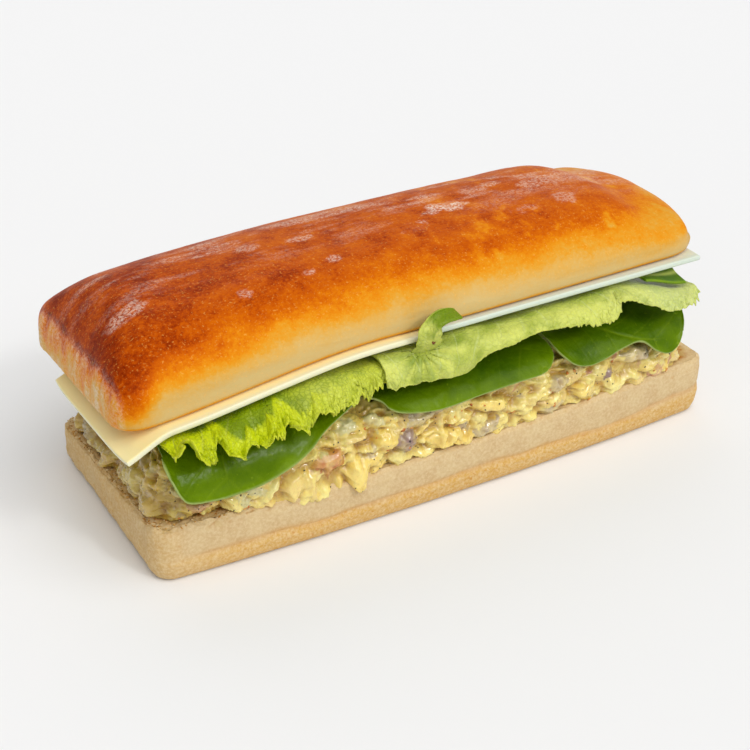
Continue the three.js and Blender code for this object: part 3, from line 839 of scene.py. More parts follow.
@dataclass
class LowerHalf:
    """Flat lower half of the roll: upright sides with a crease, golden below it, open crumb at the rim."""

    outline: Outline = Outline(-102.5, 106.5, 91.6, 3.2, 7.0, 7.0)
    crease_share: float = 0.42
    crease_depth: float = 0.6
    crease_fade: tuple[float, float] = (-98.0, -82.0)
    columns: int = 800
    under_rows: int = 2
    side_rows: int = 66
    face_rows: int = 49
    crumb_count: int = 620
    crumb_rows: tuple[int, int] = (64, 94)

    def profile(self) -> tuple[Array, Array, Array]:
        """Section of the side, from the underside to the rim.

        Returns:
            How far in from the outline in mm without the crease, the crease's own part of it, and the share
            of the height.
        """
        crease = self.crease_share
        knots = np.array([0.0, 0.03, 0.15, 0.3, crease - 0.06, crease, crease + 0.07, 0.75, 0.93, 1.0])
        inset = np.array([4.8, 1.6, 0.4, 0.0, 0.2, 0.25, 0.3, 0.1, 0.5, 1.8])
        share = np.interp(shares(self.side_rows), shares(len(knots)), knots)
        groove = (self.crease_depth - 0.25) * np.exp(-np.abs((share - crease) / 0.05) ** 1.3)
        return np.interp(share, knots, inset), groove, share

    def rings(self) -> tuple[Array, Array, Array, Array]:
        """Rings: underside out to the edge, up the side along the profile, then the cut face to the middle.

        Returns:
            Grid of points, then for each row its share of the height and its way in from the rim, and for
            each column how much of the crease shows there.
        """
        ring = self.outline.ring(self.columns)
        inset, groove, share = self.profile()
        under_x, under_y = pulled_in(ring, np.array([0.0, 0.5]))
        fading = smoothstep(ring["x"], *self.crease_fade)
        pull = inset[:, None] + groove[:, None] * fading
        side_x, side_y = ring["x"] - ring["out_x"] * pull, ring["y"] - ring["out_y"] * pull
        left_over = 1.0 - shares(self.face_rows + 1)[1:] ** 1.7
        face_x = mix(ring["spine"], side_x[-1], left_over[:, None])
        face_y = side_y[-1] * left_over[:, None]
        x = np.concatenate([under_x, side_x, face_x])
        y = np.concatenate([under_y, side_y, face_y])
        heights = np.concatenate([np.zeros(self.under_rows), share, np.ones(self.face_rows)])[:, None]
        waver = 0.03 * np.sin(x * 0.05 + 1.3) + 0.018 * np.sin(x * 0.17) + 0.09 * smoothstep(x, 70.0, 104.0)
        z = STACK.base_top(x, y) * (heights + waver * np.sin(np.pi * heights))
        below = np.zeros(self.under_rows + self.side_rows)
        inward = np.concatenate([below, (1 - left_over) * self.outline.width / 2])[:, None]
        return np.stack([x, y, z], axis=-1), heights, inward, fading

    def surface(self) -> Surface:
        """The rings with fine relief along the normal, and what the finish reads.

        The relief is slow dents, wrinkles that run along the side, and pits and crags where the crumb is open
        round the rim. The crease wavers, and fades out towards the left end.
        """
        points, heights, inward, fading = self.rings()
        x = points[..., 0]
        side = smoothstep(heights, 0.02, 0.12) * np.ones_like(x)
        corner = smoothstep(-x, 20.0, 75.0)
        slow = Noise(11).fractal(points, 16.0, 3)
        wrinkle = Noise(23).fractal(points, (9.0, 9.0, 1.3), 3)
        cracks = Noise(29).fractal(points, (1.6, 1.6, 7.0), 3, 0.6)
        pits = Noise(31).fractal(points, 1.8, 3, 0.7)
        folds = Noise(33).fractal(points, (3.4, 3.4, 15.0), 3, 0.6)
        crags = Noise(37).fractal(points, 2.6, 4, 0.66)
        near_rim = smoothstep(heights, 0.80, 0.99) * bell(inward, 0.0, 7.0)
        relief = side * (0.3 * slow + 0.08 * wrinkle + 0.06 * pits)
        relief -= side * 0.22 * smoothstep(cracks, 0.28, 0.5)
        relief += near_rim * (0.25 + 0.75 * corner) * (1.5 * crags - 0.3)
        relief += side * 0.5 * folds * smoothstep(-x, 97.0, 102.0) * (heights < 0.97)
        points = points + grid_normals(points, wraps=True) * relief[..., None]
        points[: self.under_rows, :, 2] = 0.0
        points[..., 2] = np.maximum(points[..., 2], 0.0)
        on_face = np.arange(len(x))[:, None] >= self.under_rows + self.side_rows
        soaked = smoothstep(inward + 2.2 * crags, 1.2, 4.2) * on_face
        holes = smoothstep(-crags, 0.12, 0.4) * near_rim * (0.35 + 0.65 * corner)
        level = heights * np.ones_like(x) + 0.07 * slow
        border = self.crease_share + 0.12 * Noise(163).fractal(points, (24.0, 24.0, 60.0), 3)
        golden = 1.0 - smoothstep(level - border, -0.09, 0.06)
        golden = golden * mix(0.45, 1.0, smoothstep(x, -98.0, -70.0))
        golden = np.maximum(golden, 0.55 * smoothstep(-x, 90.0, 102.0) * (0.8 + slow))
        values = {
            "open_crumb": np.clip(soaked + 0.8 * holes, 0, 1).ravel(),
            "golden": golden.ravel(),
            # Painted shade along the crease, fading out towards the left end.
            "painted_crease_shade": (bell(level, self.crease_share, 0.05) * fading * ~on_face).ravel(),
        }
        self.points = points
        return Surface(points.reshape(-1, 3), grid_faces(*x.shape, wraps=True), values)

    def crumbs(self) -> Surface:
        """Loose crumbs along the rim, most of them at the left end."""
        rim = self.points[slice(*self.crumb_rows)].reshape(-1, 3)
        rim = rim[(rim[:, 0] < -20.0) & ((rim[:, 1] < 0.0) | (rim[:, 0] < -90.0))]
        draw = np.random.default_rng(17)
        odds = 0.15 + smoothstep(-rim[:, 0], 55.0, 95.0)
        centre = rim[draw.choice(len(rim), size=self.crumb_count, p=odds / odds.sum())]
        upward = np.tile([0.0, 0.0, 1.0], (len(centre), 1)) + draw.normal(0.0, 0.4, (len(centre), 3))
        upward = upward / np.linalg.norm(upward, axis=1, keepdims=True)
        colours = [srgb(222, 190, 130), srgb(208, 162, 88), srgb(232, 208, 160), srgb(190, 134, 58)]
        return grains(centre, upward, 0.34, 2.0, colours, draw)

    def build(self, effects: Effects) -> None:
        """Builds and dresses the lower half and its crumbs."""
        finish = BreadFinish("lower_half_crust", roughness=0.75, specular=0.2, relief_mm=0.14)
        make_piece("lower_half", self.surface(), finish.material(effects), ["base_bun"])
        loose = TintFinish("loose_crumb", roughness=0.8, specular=0.2, variation=0.3)
        make_piece("loose_crumbs", self.crumbs(), loose.material(effects))


# Upper half of the roll


@dataclass
class UpperHalf:
    """Domed upper half: the left end stands upright under a sharp edge, the right end rounds off slowly.

    Bake heights and levels say how brown the crust is at a height over the cut face. A flour patch is its
    centre, its reach both ways and its share of flour, over the length x and the depth y.
    """

    outline: Outline = Outline(-108.5, 103.4, 80.5, 1.4, 9.0, 15.2)
    side: float = 2.6
    tuck: float = 0.975
    left_round: float = 20.0
    right_round: float = 25.8
    right_nose: float = 9.2
    crest: Curve = (
        (-108, 23.5), (-90, 27.1), (-60, 24.5), (-30, 21.6), (0, 21.7), (25, 21.4), (45, 21.4), (62, 20.9),
        (75, 19.7), (86, 16.5), (105, 17.4),
    )
    bake_heights: tuple[float, ...] = (4.0, 9.0, 11.0, 12.5, 14.5, 16.0, 18.0, 20.0, 26.0)
    bake_levels: tuple[float, ...] = (0.0, 0.14, 0.28, 0.40, 0.50, 0.60, 0.70, 0.78, 0.84)
    flour_patches: tuple[tuple[float, float, float, float, float], ...] = (
        (22.0, -2.0, 11.0, 5.0, 1.0),
        (36.0, 6.0, 7.0, 4.0, 0.5),
        (70.0, 4.0, 20.0, 12.0, 0.5),
        (86.0, 20.0, 12.0, 14.0, 0.5),
        (-93.0, -13.0, 9.0, 5.0, 0.55),
        (44.0, -17.0, 7.0, 5.0, 0.35),
        (61.0, -14.0, 5.0, 5.0, 0.4),
        (-30.0, 2.0, 6.0, 3.0, 0.6),
        (-48.0, 4.0, 7.0, 3.0, 0.5),
        (-38.0, -20.0, 3.0, 2.2, 0.6),
        (-27.0, -17.0, 3.0, 2.2, 0.6),
        (-60.0, -22.0, 3.0, 2.5, 0.5),
        (0.0, -12.0, 3.0, 2.2, 0.7),
        (9.0, -9.0, 3.0, 2.2, 0.6),
        (46.0, 8.0, 5.0, 3.0, 0.6),
    )
    columns: int = 640
    face_rows: int = 10
    lip_rows: int = 7
    crust_rows: int = 117

    def crust_rise(self, x: Array, y: Array, share: Array) -> Array:
        """Rise over the cut face: the full rise times the softly lowest of four shares, which are the dome
        across, the left end, the right end and the brim next to the outline."""
        out = self.outline
        rise = read_curve(self.crest, x) + 0.5 * uneven(x, y, 0.8)
        rise = rise - 2.2 * smoothstep(x, 72.0, 94.0) * smoothstep(y, 2.0, 26.0)
        across = np.maximum(1 - np.abs(2 * y / out.width) ** 2.4, 0) ** 0.476
        from_left = np.clip((x - out.left) / self.left_round, 0, 1)
        nose = out.right - self.right_nose * (2 * y / out.width) ** 2
        from_right = np.clip((nose - x) / self.right_round, 0, 1)
        left_end = (1 - (1 - from_left) ** 2.2) ** 0.35
        right_end = (1 - (1 - from_right) ** 2.1) ** 0.24
        brim = (1 - share**10) ** 0.45
        return self.side + (rise - self.side) * soft_lowest(across, left_end, right_end, brim)

    def rings(self) -> tuple[Array, Array]:
        """Rings: cut face out to the edge, a round lower edge, then the crust up to the crown.

        Returns:
            Grid of points, and how far each is over the cut face.
        """
        ring = self.outline.ring(self.columns)
        face = np.linspace(0.0, self.tuck, self.face_rows)
        turn = np.linspace(0.0, np.pi / 2, self.lip_rows + 1)[1:]
        crust = 1.0 - shares(self.crust_rows + 1)[1:] ** 2.3
        face_x, face_y = pulled_in(ring, np.concatenate([face, mix(self.tuck, 1.0, np.sin(turn))]))
        lifts = np.concatenate([np.zeros(len(face)), self.side * (1 - np.cos(turn))])[:, None]
        crust_x, crust_y = pulled_in(ring, crust)
        height = self.crust_rise(crust_x, crust_y, crust[:, None])
        x, y = np.concatenate([face_x, crust_x]), np.concatenate([face_y, crust_y])
        lifted = np.concatenate([lifts * np.ones_like(face_x), height])
        return np.stack([x, y, STACK.bun_cut(x, y) + lifted], axis=-1), lifted

    def flour(self, points: Array) -> Array:
        """Share of flour: streaks along the crown and far side, and a few worn patches on top."""
        x, y = points[..., 0], points[..., 1]
        flat = points * np.array([1.0, 1.0, 0.0])
        streaks = smoothstep(Noise(53).fractal(flat, (15.0, 4.5, 9.0), 4, 0.6), -0.12, 0.38)
        flour = 0.66 * streaks * smoothstep(y, -20.0, 14.0) * (1 - 0.8 * smoothstep(-x, 90.0, 106.0))
        rough = Noise(59).fractal(flat, 6.0, 4, 0.65)
        for centre_x, centre_y, reach_x, reach_y, share in self.flour_patches:
            distance = ((x - centre_x) / reach_x) ** 2 + ((y - centre_y) / reach_y) ** 2
            flour = np.maximum(flour, share * smoothstep(1.0 - distance + 1.7 * rough, 0.3, 0.9))
        return flour

    def browning_and_lip_shade(self, place: Array, points: Array, lifted: Array, end_face: Array, on_end: Array) -> Array:
        """How brown the crust is, with a painted warm shade along the lower lip.

        It is read from the height over the cut face on the long sides, is low on the upright left end, and
        highest along its edge.

        Args:
            place: grid of points without relief.
            points: the same with relief.
            lifted: rise over the cut face.
            end_face: share that belongs to the upright left end.
            on_end: browning of that end, to which the height over the cut face adds.

        Returns:
            Browning between 0 and 1.
        """
        x, y = place[..., 0], place[..., 1]
        corner = smoothstep(-x, 92.0, 104.0) * mix(0.4, 1.0, smoothstep(-y, -10.0, 28.0))
        near_left, near_right = smoothstep(-x, 55.0, 100.0), smoothstep(x, 35.0, 95.0)
        blotch = Noise(67).fractal(points * np.array([0.6, 1.0, 1.0]), 11.0, 4, 0.6)
        spots = smoothstep(Noise(151).fractal(points * np.array([1.3, 0.8, 0.8]), 8.0, 4, 0.6), 0.12, 0.45)
        level = lifted + 1.0 * near_left + 6.5 * corner + 3.4 * near_right + 1.8 * blotch
        brown = np.interp(level, self.bake_heights, self.bake_levels) + 0.05 * blotch
        dark = corner * (1 - 0.75 * smoothstep(lifted, 17.0, 24.0))
        brown = brown + (0.04 * near_left + 0.12 * dark) * smoothstep(level, 10.0, 22.0)
        brown = brown - 0.17 * near_right * smoothstep(brown, 0.3, 0.55)
        spotted = mix(0.25, 1.0, smoothstep(x, -10.0, 55.0)) * (1 - 0.8 * near_left)
        brown = brown - 0.24 * spots * smoothstep(brown, 0.3, 0.5) * spotted
        on_end = on_end + 0.4 * smoothstep(lifted + 6.0 * blotch, 4.0, 15.0)
        edge = 4.0 * end_face * (1.0 - end_face)
        brown = mix(brown, on_end, end_face) + 0.2 * edge * smoothstep(lifted, 4.0, 12.0)
        # Painted shade: browner along the lower lip, where the bun meets the cheese, but not on the upright
        # left end.
        return np.clip(brown + 0.34 * (1 - smoothstep(lifted, 0.3, 1.5)) * (1 - end_face), 0, 1)

    def surface(self) -> Surface:
        """The rings with fine relief along the normal, pleated on the left end, and what the finish reads."""
        place, lifted = self.rings()
        end_face = smoothstep(-place[..., 0], 105.3, 107.4)
        slow = Noise(41).fractal(place, 13.0, 3)
        skin = Noise(43).fractal(place, 2.4, 3, 0.6)
        pleats = Noise(47).fractal(place, (5.0, 2.2, 18.0), 3)
        creases = Noise(61).fractal(place, (14.0, 14.0, 1.5), 3)
        band = plateau(lifted, (1.0, 3.0), (5.0, 10.0))
        relief = 0.22 * slow + 0.05 * skin + 0.7 * end_face * pleats + 0.14 * band * creases
        relief = relief * smoothstep(lifted, 0.0, 1.5)
        points = place + grid_normals(place, wraps=True) * relief[..., None]
        mottle = Noise(157).fractal(points, (4.0, 3.0, 7.0), 4, 0.65)
        dust = end_face * (0.28 + 0.4 * smoothstep(0.6 * pleats - mottle, -0.1, 0.4))
        on_end = 0.2 + 0.45 * mottle - 0.16 * pleats
        values = {
            "browning_and_lip_shade": self.browning_and_lip_shade(place, points, lifted, end_face, on_end).ravel(),
            "flour": np.maximum(self.flour(points), dust).ravel(),
        }
        return Surface(points.reshape(-1, 3), grid_faces(*lifted.shape, wraps=True), values)

    def build(self, effects: Effects) -> None:
        """Builds and dresses the upper half."""
        finish = CrustFinish(
            "upper_half_crust", roughness=0.45, specular=0.07, specular_tint=(1.0, 0.62, 0.28), relief_mm=0.12
        )
        make_piece("upper_half", self.surface(), finish.material(effects), ["top_bun"])


# Chicken salad


class Morsel(Enum):
    """Kinds of food in the salad, each with its colour and how much dressing covers it."""

    DRESSING = (srgb(238, 216, 120), 1.0)
    CREAM = (srgb(248, 236, 160), 0.8)
    YELLOW = (srgb(240, 206, 98), 0.35)
    CHICKEN = (srgb(222, 184, 112), 0.55)
    GREY = (srgb(176, 156, 134), 0.4)
    LILAC = (srgb(142, 112, 104), 0.15)
    ROASTED = (srgb(192, 112, 52), 0.3)
    PINK = (srgb(196, 132, 104), 0.3)
    PALE = (srgb(214, 206, 150), 0.25)

    def colour(self) -> Array:
        """Its linear colour."""
        return np.array(self.value[0])

    def coating(self) -> float:
        """Share of the surface under dressing."""
        return self.value[1]


STREWN_ODDS = {
    Morsel.DRESSING: 0.22,
    Morsel.CREAM: 0.24,
    Morsel.YELLOW: 0.24,
    Morsel.CHICKEN: 0.17,
    Morsel.GREY: 0.06,
    Morsel.PINK: 0.04,
    Morsel.PALE: 0.03,
}
MEAT = (Morsel.CHICKEN, Morsel.GREY, Morsel.ROASTED, Morsel.PINK)


def shaded(tint: Array, factors: Colour, share: Array) -> Array:
    """Colours times the factors, at that share: painted shade."""
    return mix(tint, tint * np.array(factors), share[..., None])


@dataclass(frozen=True)
class Lump:
    """One piece in the heap: its place along the outline and up the side, its size and its turn, in mm."""

    along: float
    up: float
    reach_along: float
    reach_up: float
    proud: float
    turn: float
    kind: Morsel
    tilt: float = 0.0


@dataclass
class SaladHeap:
    """Heap of dressed chicken: a smooth core on which overlapping lumps stand out, coated with dressing."""

    stack: Stack = STACK
    outline: Outline = field(default_factory=lambda: Outline(-97.5, 99.0, 86.6, 2.0, 11.0, 11.0))
    columns: int = 980
    side_rows: int = 78
    strewn_count: int = 1500
    strewn_up: tuple[float, float] = (-1.0, 33.0)
    shred_share: float = 0.55
    seed: int = 4711

    def core(self) -> tuple[Array, Array, Array]:
        """Smooth core.

        Rings follow the outline, from the underside up the side, over the round shoulder to the top.

        Returns:
            Grid of points, way along the outline for each column and way up the side for each row, in mm.
        """
        ring = self.outline.ring(self.columns, crowd=0.35, crowd_at=0.70)
        knots = np.array(
            [[0, 0], [0.6, 0], [0.95, 0], [0.99, 0.2], [0.985, 0.5], [0.94, 0.74], [0.85, 0.91], [0.72, 0.98],
             [0.36, 1], [0, 1]]
        )
        half = self.outline.width / 2
        lengths = np.hypot(np.diff(knots[:, 0]) * half, np.diff(knots[:, 1]) * 23.0)
        way = np.concatenate([[0.0], np.cumsum(lengths)])
        start, end = way[2] - 1.2, way[7] + 1.0
        rows = np.concatenate([
            np.linspace(0.0, start, 4)[:-1],
            np.linspace(start, end, self.side_rows),
            mix(end, way[-1], shares(11)[1:] ** 1.3),
        ])
        share = np.interp(rows, way, knots[:, 0])[:, None]
        height = np.interp(rows, way, knots[:, 1])[:, None]
        swell = 1 + 0.012 * uneven(ring["x"], ring["y"], 2.4)
        x, y = pulled_in(ring, share * np.where(share > 0.5, swell, 1.0))
        rise = self.stack.salad_rise(x, y) + 0.4 * uneven(x, y, 4.2)
        z = self.stack.base_top(x, y) + GAP + height * rise
        steps = np.hypot(np.diff(ring["x"], append=ring["x"][0]), np.diff(ring["y"], append=ring["y"][0]))
        along = np.concatenate([[0.0], np.cumsum(steps)[:-1]])
        self.perimeter = float(np.sum(steps))
        self.ring = ring
        return np.stack([x, y, z], axis=-1), along, rows - way[2]

    def along_at(self, x: float, y: float, along: Array) -> float:
        """Way along the outline of the place nearest to x and y."""
        return float(along[np.argmin(np.hypot(self.ring["x"] - x, self.ring["y"] - y))])

    def shown_lumps(self, along: Array) -> list[Lump]:
        """The larger pieces that show, by their place on the near side (x) or the left end (y) and way up."""
        near = [
            (-17.1, 9.0, 4.4, 4.2, 3.0, 0.1, Morsel.LILAC),
            (-7.5, 16.5, 11.0, 3.6, 1.9, 0.12, Morsel.GREY),
            (14.5, 12.5, 8.6, 3.0, 3.0, -0.35, Morsel.YELLOW),
            (-43.8, 9.0, 6.6, 3.8, 2.4, 0.3, Morsel.ROASTED),
            (-35.0, 2.6, 4.4, 5.0, 3.2, 0.1, Morsel.YELLOW),
            (-26.9, 19.0, 4.6, 3.0, 2.6, -0.5, Morsel.PALE),
            (-34.0, 15.0, 6.0, 2.0, 2.6, 0.1, Morsel.CHICKEN),
            (-24.0, 10.5, 5.0, 4.2, 2.3, 0.2, Morsel.YELLOW),
            (-64.1, 6.0, 5.4, 1.7, 3.0, 0.9, Morsel.CREAM),
            (-57.0, 5.0, 5.0, 3.6, 2.2, 0.2, Morsel.CHICKEN),
            (-76.4, 3.4, 2.2, 4.2, 2.6, 0.0, Morsel.DRESSING),
            (-88.0, 7.0, 4.6, 2.2, 2.3, 0.1, Morsel.PINK),
            (-2.0, 5.0, 5.4, 3.4, 2.2, 0.1, Morsel.YELLOW),
            (4.0, 3.0, 4.8, 2.6, 2.4, 0.0, Morsel.YELLOW),
            (29.0, 8.0, 6.4, 3.6, 2.2, 0.2, Morsel.CREAM),
            (41.0, 11.0, 4.6, 3.0, 2.0, 0.5, Morsel.GREY),
            (51.0, 6.0, 4.0, 3.4, 2.4, 0.0, Morsel.YELLOW),
            (62.3, 9.0, 3.0, 2.0, 1.6, 1.1, Morsel.LILAC),
            (73.0, 14.0, 5.4, 3.0, 2.2, -0.2, Morsel.GREY),
            (80.0, 7.0, 6.4, 2.4, 2.4, 0.2, Morsel.YELLOW),
        ]
        left = [
            (19.0, 8.0, 5.6, 4.0, 2.6, 0.6, Morsel.GREY),
            (3.7, 4.0, 4.6, 3.4, 3.0, 0.2, Morsel.YELLOW),
            (-18.0, 9.0, 8.0, 6.5, 3.0, 0.3, Morsel.CREAM),
            (-30.0, 4.0, 5.5, 4.0, 2.6, -0.3, Morsel.CHICKEN),
            (30.0, 6.0, 4.0, 4.0, 2.4, 0.2, Morsel.CHICKEN),
        ]
        at_near = [Lump(self.along_at(x, -43.0, along), *rest) for x, *rest in near]
        at_left = [Lump(self.along_at(-97.5, y, along), *rest) for y, *rest in left]
        return at_near + at_left

    def strewn_lumps(self, shown: Sequence[Lump]) -> list[Lump]:
        """Shreds and smaller pieces all round, left out where a larger one shows, from one seeded draw."""
        draw = np.random.default_rng(self.seed)
        kinds, odds = list(STREWN_ODDS), list(STREWN_ODDS.values())
        lumps = []
        for _ in range(self.strewn_count):
            along, up = draw.uniform(0, self.perimeter), draw.uniform(*self.strewn_up)
            shred = draw.uniform() < self.shred_share
            size = draw.uniform(0.5, 1.1) if shred else 1.2 + 2.4 * draw.uniform() ** 2
            stretch = draw.uniform(2.5, 5.5) if shred else draw.uniform(1.0, 1.8)
            proud = draw.uniform(0.5, 1.3) if shred else draw.uniform(0.2, 0.65) * min(size, 2.2)
            turn, tilt = draw.uniform(-1.6, 1.6), draw.uniform(-0.35, 0.35)
            kind = kinds[int(draw.choice(len(kinds), p=odds))]
            hidden = any(
                abs(along - big.along) < 0.75 * big.reach_along and abs(up - big.up) < 0.75 * big.reach_up
                for big in shown
            )
            if not hidden:
                lumps.append(Lump(along, up, size * stretch, size, proud, turn, kind, tilt))
        return lumps

    def pile(self, lumps: Sequence[Lump], along: Array, up: Array, core: Array) -> tuple[Array, Array]:
        """Height and colour of the lumps over the core.

        Each lump has an uneven many-sided outline, a flat tilted top and steep sides; meat has fibres too.
        The highest lump at a place gives its colour, mixed with the dressing by its coating, and a little
        lighter or darker by its tilt: painted light.

        Args:
            lumps: all pieces of the heap.
            along: way along the outline for each column.
            up: way up the side for each row.
            core: grid of points of the smooth core.

        Returns:
            Height over the core in mm and linear colour, for each point.
        """
        shape = core.shape[:2]
        height = np.full(shape, -1.3)
        tint = np.broadcast_to(Morsel.DRESSING.colour(), (*shape, 3)).copy()
        warp_a = 1.7 * Noise(71).fractal(core, 3.2, 3, 0.6)
        warp_b = 1.7 * Noise(73).fractal(core, 3.2, 3, 0.6)
        film = Noise(79).fractal(core, 2.6, 4, 0.65)
        draw = np.random.default_rng(self.seed + 1)
        for lump in lumps:
            count = int(draw.integers(5, 9))
            angles = 2 * np.pi * (np.arange(count) + draw.uniform(-0.3, 0.3, count)) / count
            sides = draw.uniform(0.72, 1.08, count)
            lean = draw.uniform(-0.22, 0.22)
            reach = 1.3 * max(lump.reach_along, lump.reach_up) + 1.5
            rows = np.flatnonzero(np.abs(up - lump.up) < reach)
            offset = np.mod(along - lump.along + self.perimeter / 2, self.perimeter) - self.perimeter / 2
            columns = np.flatnonzero(np.abs(offset) < reach)
            if len(rows) == 0 or len(columns) == 0:
                continue
            window = np.ix_(rows, columns)
            u = offset[columns][None, :] + warp_a[window]
            v = (up[rows] - lump.up)[:, None] + warp_b[window]
            c, t = math.cos(lump.turn), math.sin(lump.turn)
            a, b = (c * u + t * v) / lump.reach_along, (-t * u + c * v) / lump.reach_up
            out = np.max([(a * math.cos(w) + b * math.sin(w)) / d for w, d in zip(angles, sides)], axis=0)
            top = lump.proud * (1 - 0.85 * smoothstep(out, 0.55, 1.0))
            top = top + (lump.tilt * a + lean * b) * lump.reach_up
            if lump.kind in MEAT:
                top = top - 0.16 * np.abs(np.sin(3.4 * b * lump.reach_up + 2.0 * film[window]))
            stand = np.where(out < 1.0, top, -9.0)
            old = height[window]
            higher = stand > old
            coating = np.clip(lump.kind.coating() + 0.6 * film[window], 0, 1)[..., None]
            # Painted light: a lump is a little lighter for one tilt of its top and darker for the other.
            colour = mix(lump.kind.colour(), Morsel.DRESSING.colour(), coating) * (1 + 0.12 * lump.tilt)
            height[window] = np.where(higher, stand, old)
            tint[window] = np.where(higher[..., None], colour, tint[window])
        return height, tint

    def over_rim(self, points: Array, up: Array) -> Array:
        """Carries the foot of the heap over the rim of the bread on the near side, lobed by noise.

        At the near left corner the heap stays inside the rim, at the left end it comes up to it.
        """
        ring = self.ring
        x = ring["x"]
        near = smoothstep(-ring["out_y"], 0.5, 0.9)
        left = smoothstep(-ring["out_x"], 0.4, 0.85)
        lip = plateau(x, (-72.0, -60.0), (-37.0, -28.0))
        flat = np.stack([x, ring["y"], 0 * x], axis=-1)
        lobes = Noise(127).fractal(flat, 6.5, 3, 0.55)
        inside = smoothstep(-x, 68.0, 84.0)
        reach = near * ((1.5 + 1.4 * lip + 0.7 * lobes) * (1 - inside) - 1.2 * inside) + 2.7 * left
        drop = near * (0.5 + 3.0 * lip) * np.clip(0.75 + 0.9 * lobes, 0.1, 1.5) * (1 - inside)
        weight = plateau(up, (-1.4, -0.4), (0.5, 7.0))[:, None]
        moved = points.copy()
        moved[..., 0] += weight * reach * ring["out_x"]
        moved[..., 1] += weight * reach * ring["out_y"]
        moved[..., 2] -= weight * drop
        return moved

    def surface(self) -> Surface:
        """Core plus lumps, blended and wrinkled like thick dressing, with painted shade in the gaps between
        lumps, in the wrinkles and at the left end under the cheese corner, and painted highlights on the
        raised parts.
        """
        core, along, up = self.core()
        shown = self.shown_lumps(along)
        height, tint = self.pile([*self.strewn_lumps(shown), *shown], along, up, core)
        smooth = averaged(averaged(averaged(height, 0, 1, 2), 1, 1, 2), 1, 2, 2)
        broad = smooth
        for _ in range(9):
            broad = averaged(averaged(broad, 0, 2, 1), 1, 3, 1)
        bent = core + 1.8 * np.stack([Noise(91 + n).fractal(core, 3.0, 2) for n in range(3)], axis=-1)
        folds = 1 - 2 * np.abs(Noise(83).fractal(bent, (3.4, 3.4, 2.0), 3, 0.55))
        beads = Noise(89).fractal(core, 1.1, 3, 0.7)
        stand = smooth + 1.1 * (folds - 0.5) + 0.3 * beads
        lift = plateau(up, (-1.4, 0.6), (34.0, 40.0))[:, None] * (stand + 0.5)
        self.up, self.normals = up, grid_normals(core, wraps=True)
        self.points = self.over_rim(core + self.normals * lift[..., None], up)
        # Painted shade: browner and darker in the gaps between lumps, then in the valleys of the wrinkles.
        tint = shaded(tint, (0.55, 0.36, 0.14), 0.9 * smoothstep(broad - smooth - 0.25 * beads, 0.1, 1.4))
        tint = shaded(tint, (0.72, 0.58, 0.36), 0.6 * smoothstep(0.45 - folds, 0.0, 0.5))
        # Painted highlight: lighter on the parts that stand out.
        bright = smoothstep(smooth - broad + 0.9 * folds, 0.6, 1.9)[..., None]
        tint = mix(tint, np.clip(tint * 1.15 + 0.04, 0, 1), 0.6 * bright)
        # Painted shade: darker and browner towards the left end, under the cheese corner.
        tint = shaded(tint, (0.66, 0.60, 0.36), smoothstep(-core[..., 0], 72.0, 97.0))
        faces = grid_faces(*core.shape[:2], wraps=True)
        return Surface(self.points.reshape(-1, 3), faces, {"tint": tint.reshape(-1, 3)})

    def strewn(
        self, count: int, size: float, stretch: float, colours: Sequence[Colour], seed: int
    ) -> Surface:
        """Small grains all over the heap, as many, as large and in such colours as asked."""
        draw = np.random.default_rng(seed)
        rows = np.flatnonzero((self.up > 0.5) & (self.up < 30.0))
        row = rows[draw.integers(len(rows), size=count)]
        column = draw.integers(self.points.shape[1], size=count)
        return grains(self.points[row, column], self.normals[row, column], size, stretch, colours, draw)

    def build(self, effects: Effects) -> None:
        """Builds and dresses the heap and what is strewn in it."""
        moist = TintFinish(
            "dressed_chicken", roughness=0.28, specular=0.5, coat=0.8, coat_roughness=0.08, subsurface=0.06,
            subsurface_radius=(1.0, 0.6, 0.25), subsurface_mm=0.6, relief_mm=0.24,
        )
        make_piece("salad_heap", self.surface(), moist.material(effects), ["chicken_salad"])
        dark = TintFinish("ground_pepper", roughness=0.6, variation=0.1)
        pepper = [srgb(38, 30, 26), srgb(64, 44, 30), srgb(30, 34, 40)]
        make_piece("pepper_specks", self.strewn(420, 0.26, 1.6, pepper, 5), dark.material(effects))
        bright = TintFinish("orange_bits", roughness=0.45, variation=0.1)
        orange = [srgb(214, 126, 44), srgb(200, 108, 44), srgb(222, 150, 66)]
        make_piece("orange_bits", self.strewn(130, 0.5, 2.2, orange, 6), bright.material(effects))


# Leaves


def draped(way: Array, fold_line: float, top: Number, bend: Number) -> tuple[Array, Array]:
    """Depth and height of a leaf that lies flat, bends a quarter turn round a shoulder and hangs straight.

    Args:
        way: way along the leaf in mm, 0 where the bend starts and positive outwards.
        fold_line: depth y at which the bend starts.
        top: height of the leaf there.
        bend: radius of the bend.

    Returns:
        Depth y and height z for each way.
    """
    quarter = bend * np.pi / 2
    angle = np.clip(way / bend, 0.0, np.pi / 2)
    flat = np.minimum(way, 0.0)
    hang = np.maximum(way - quarter, 0.0)
    y = fold_line - flat - bend * np.sin(angle)
    z = top + STACK_LEAN * flat - bend * (1 - np.cos(angle)) - hang
    return y, z


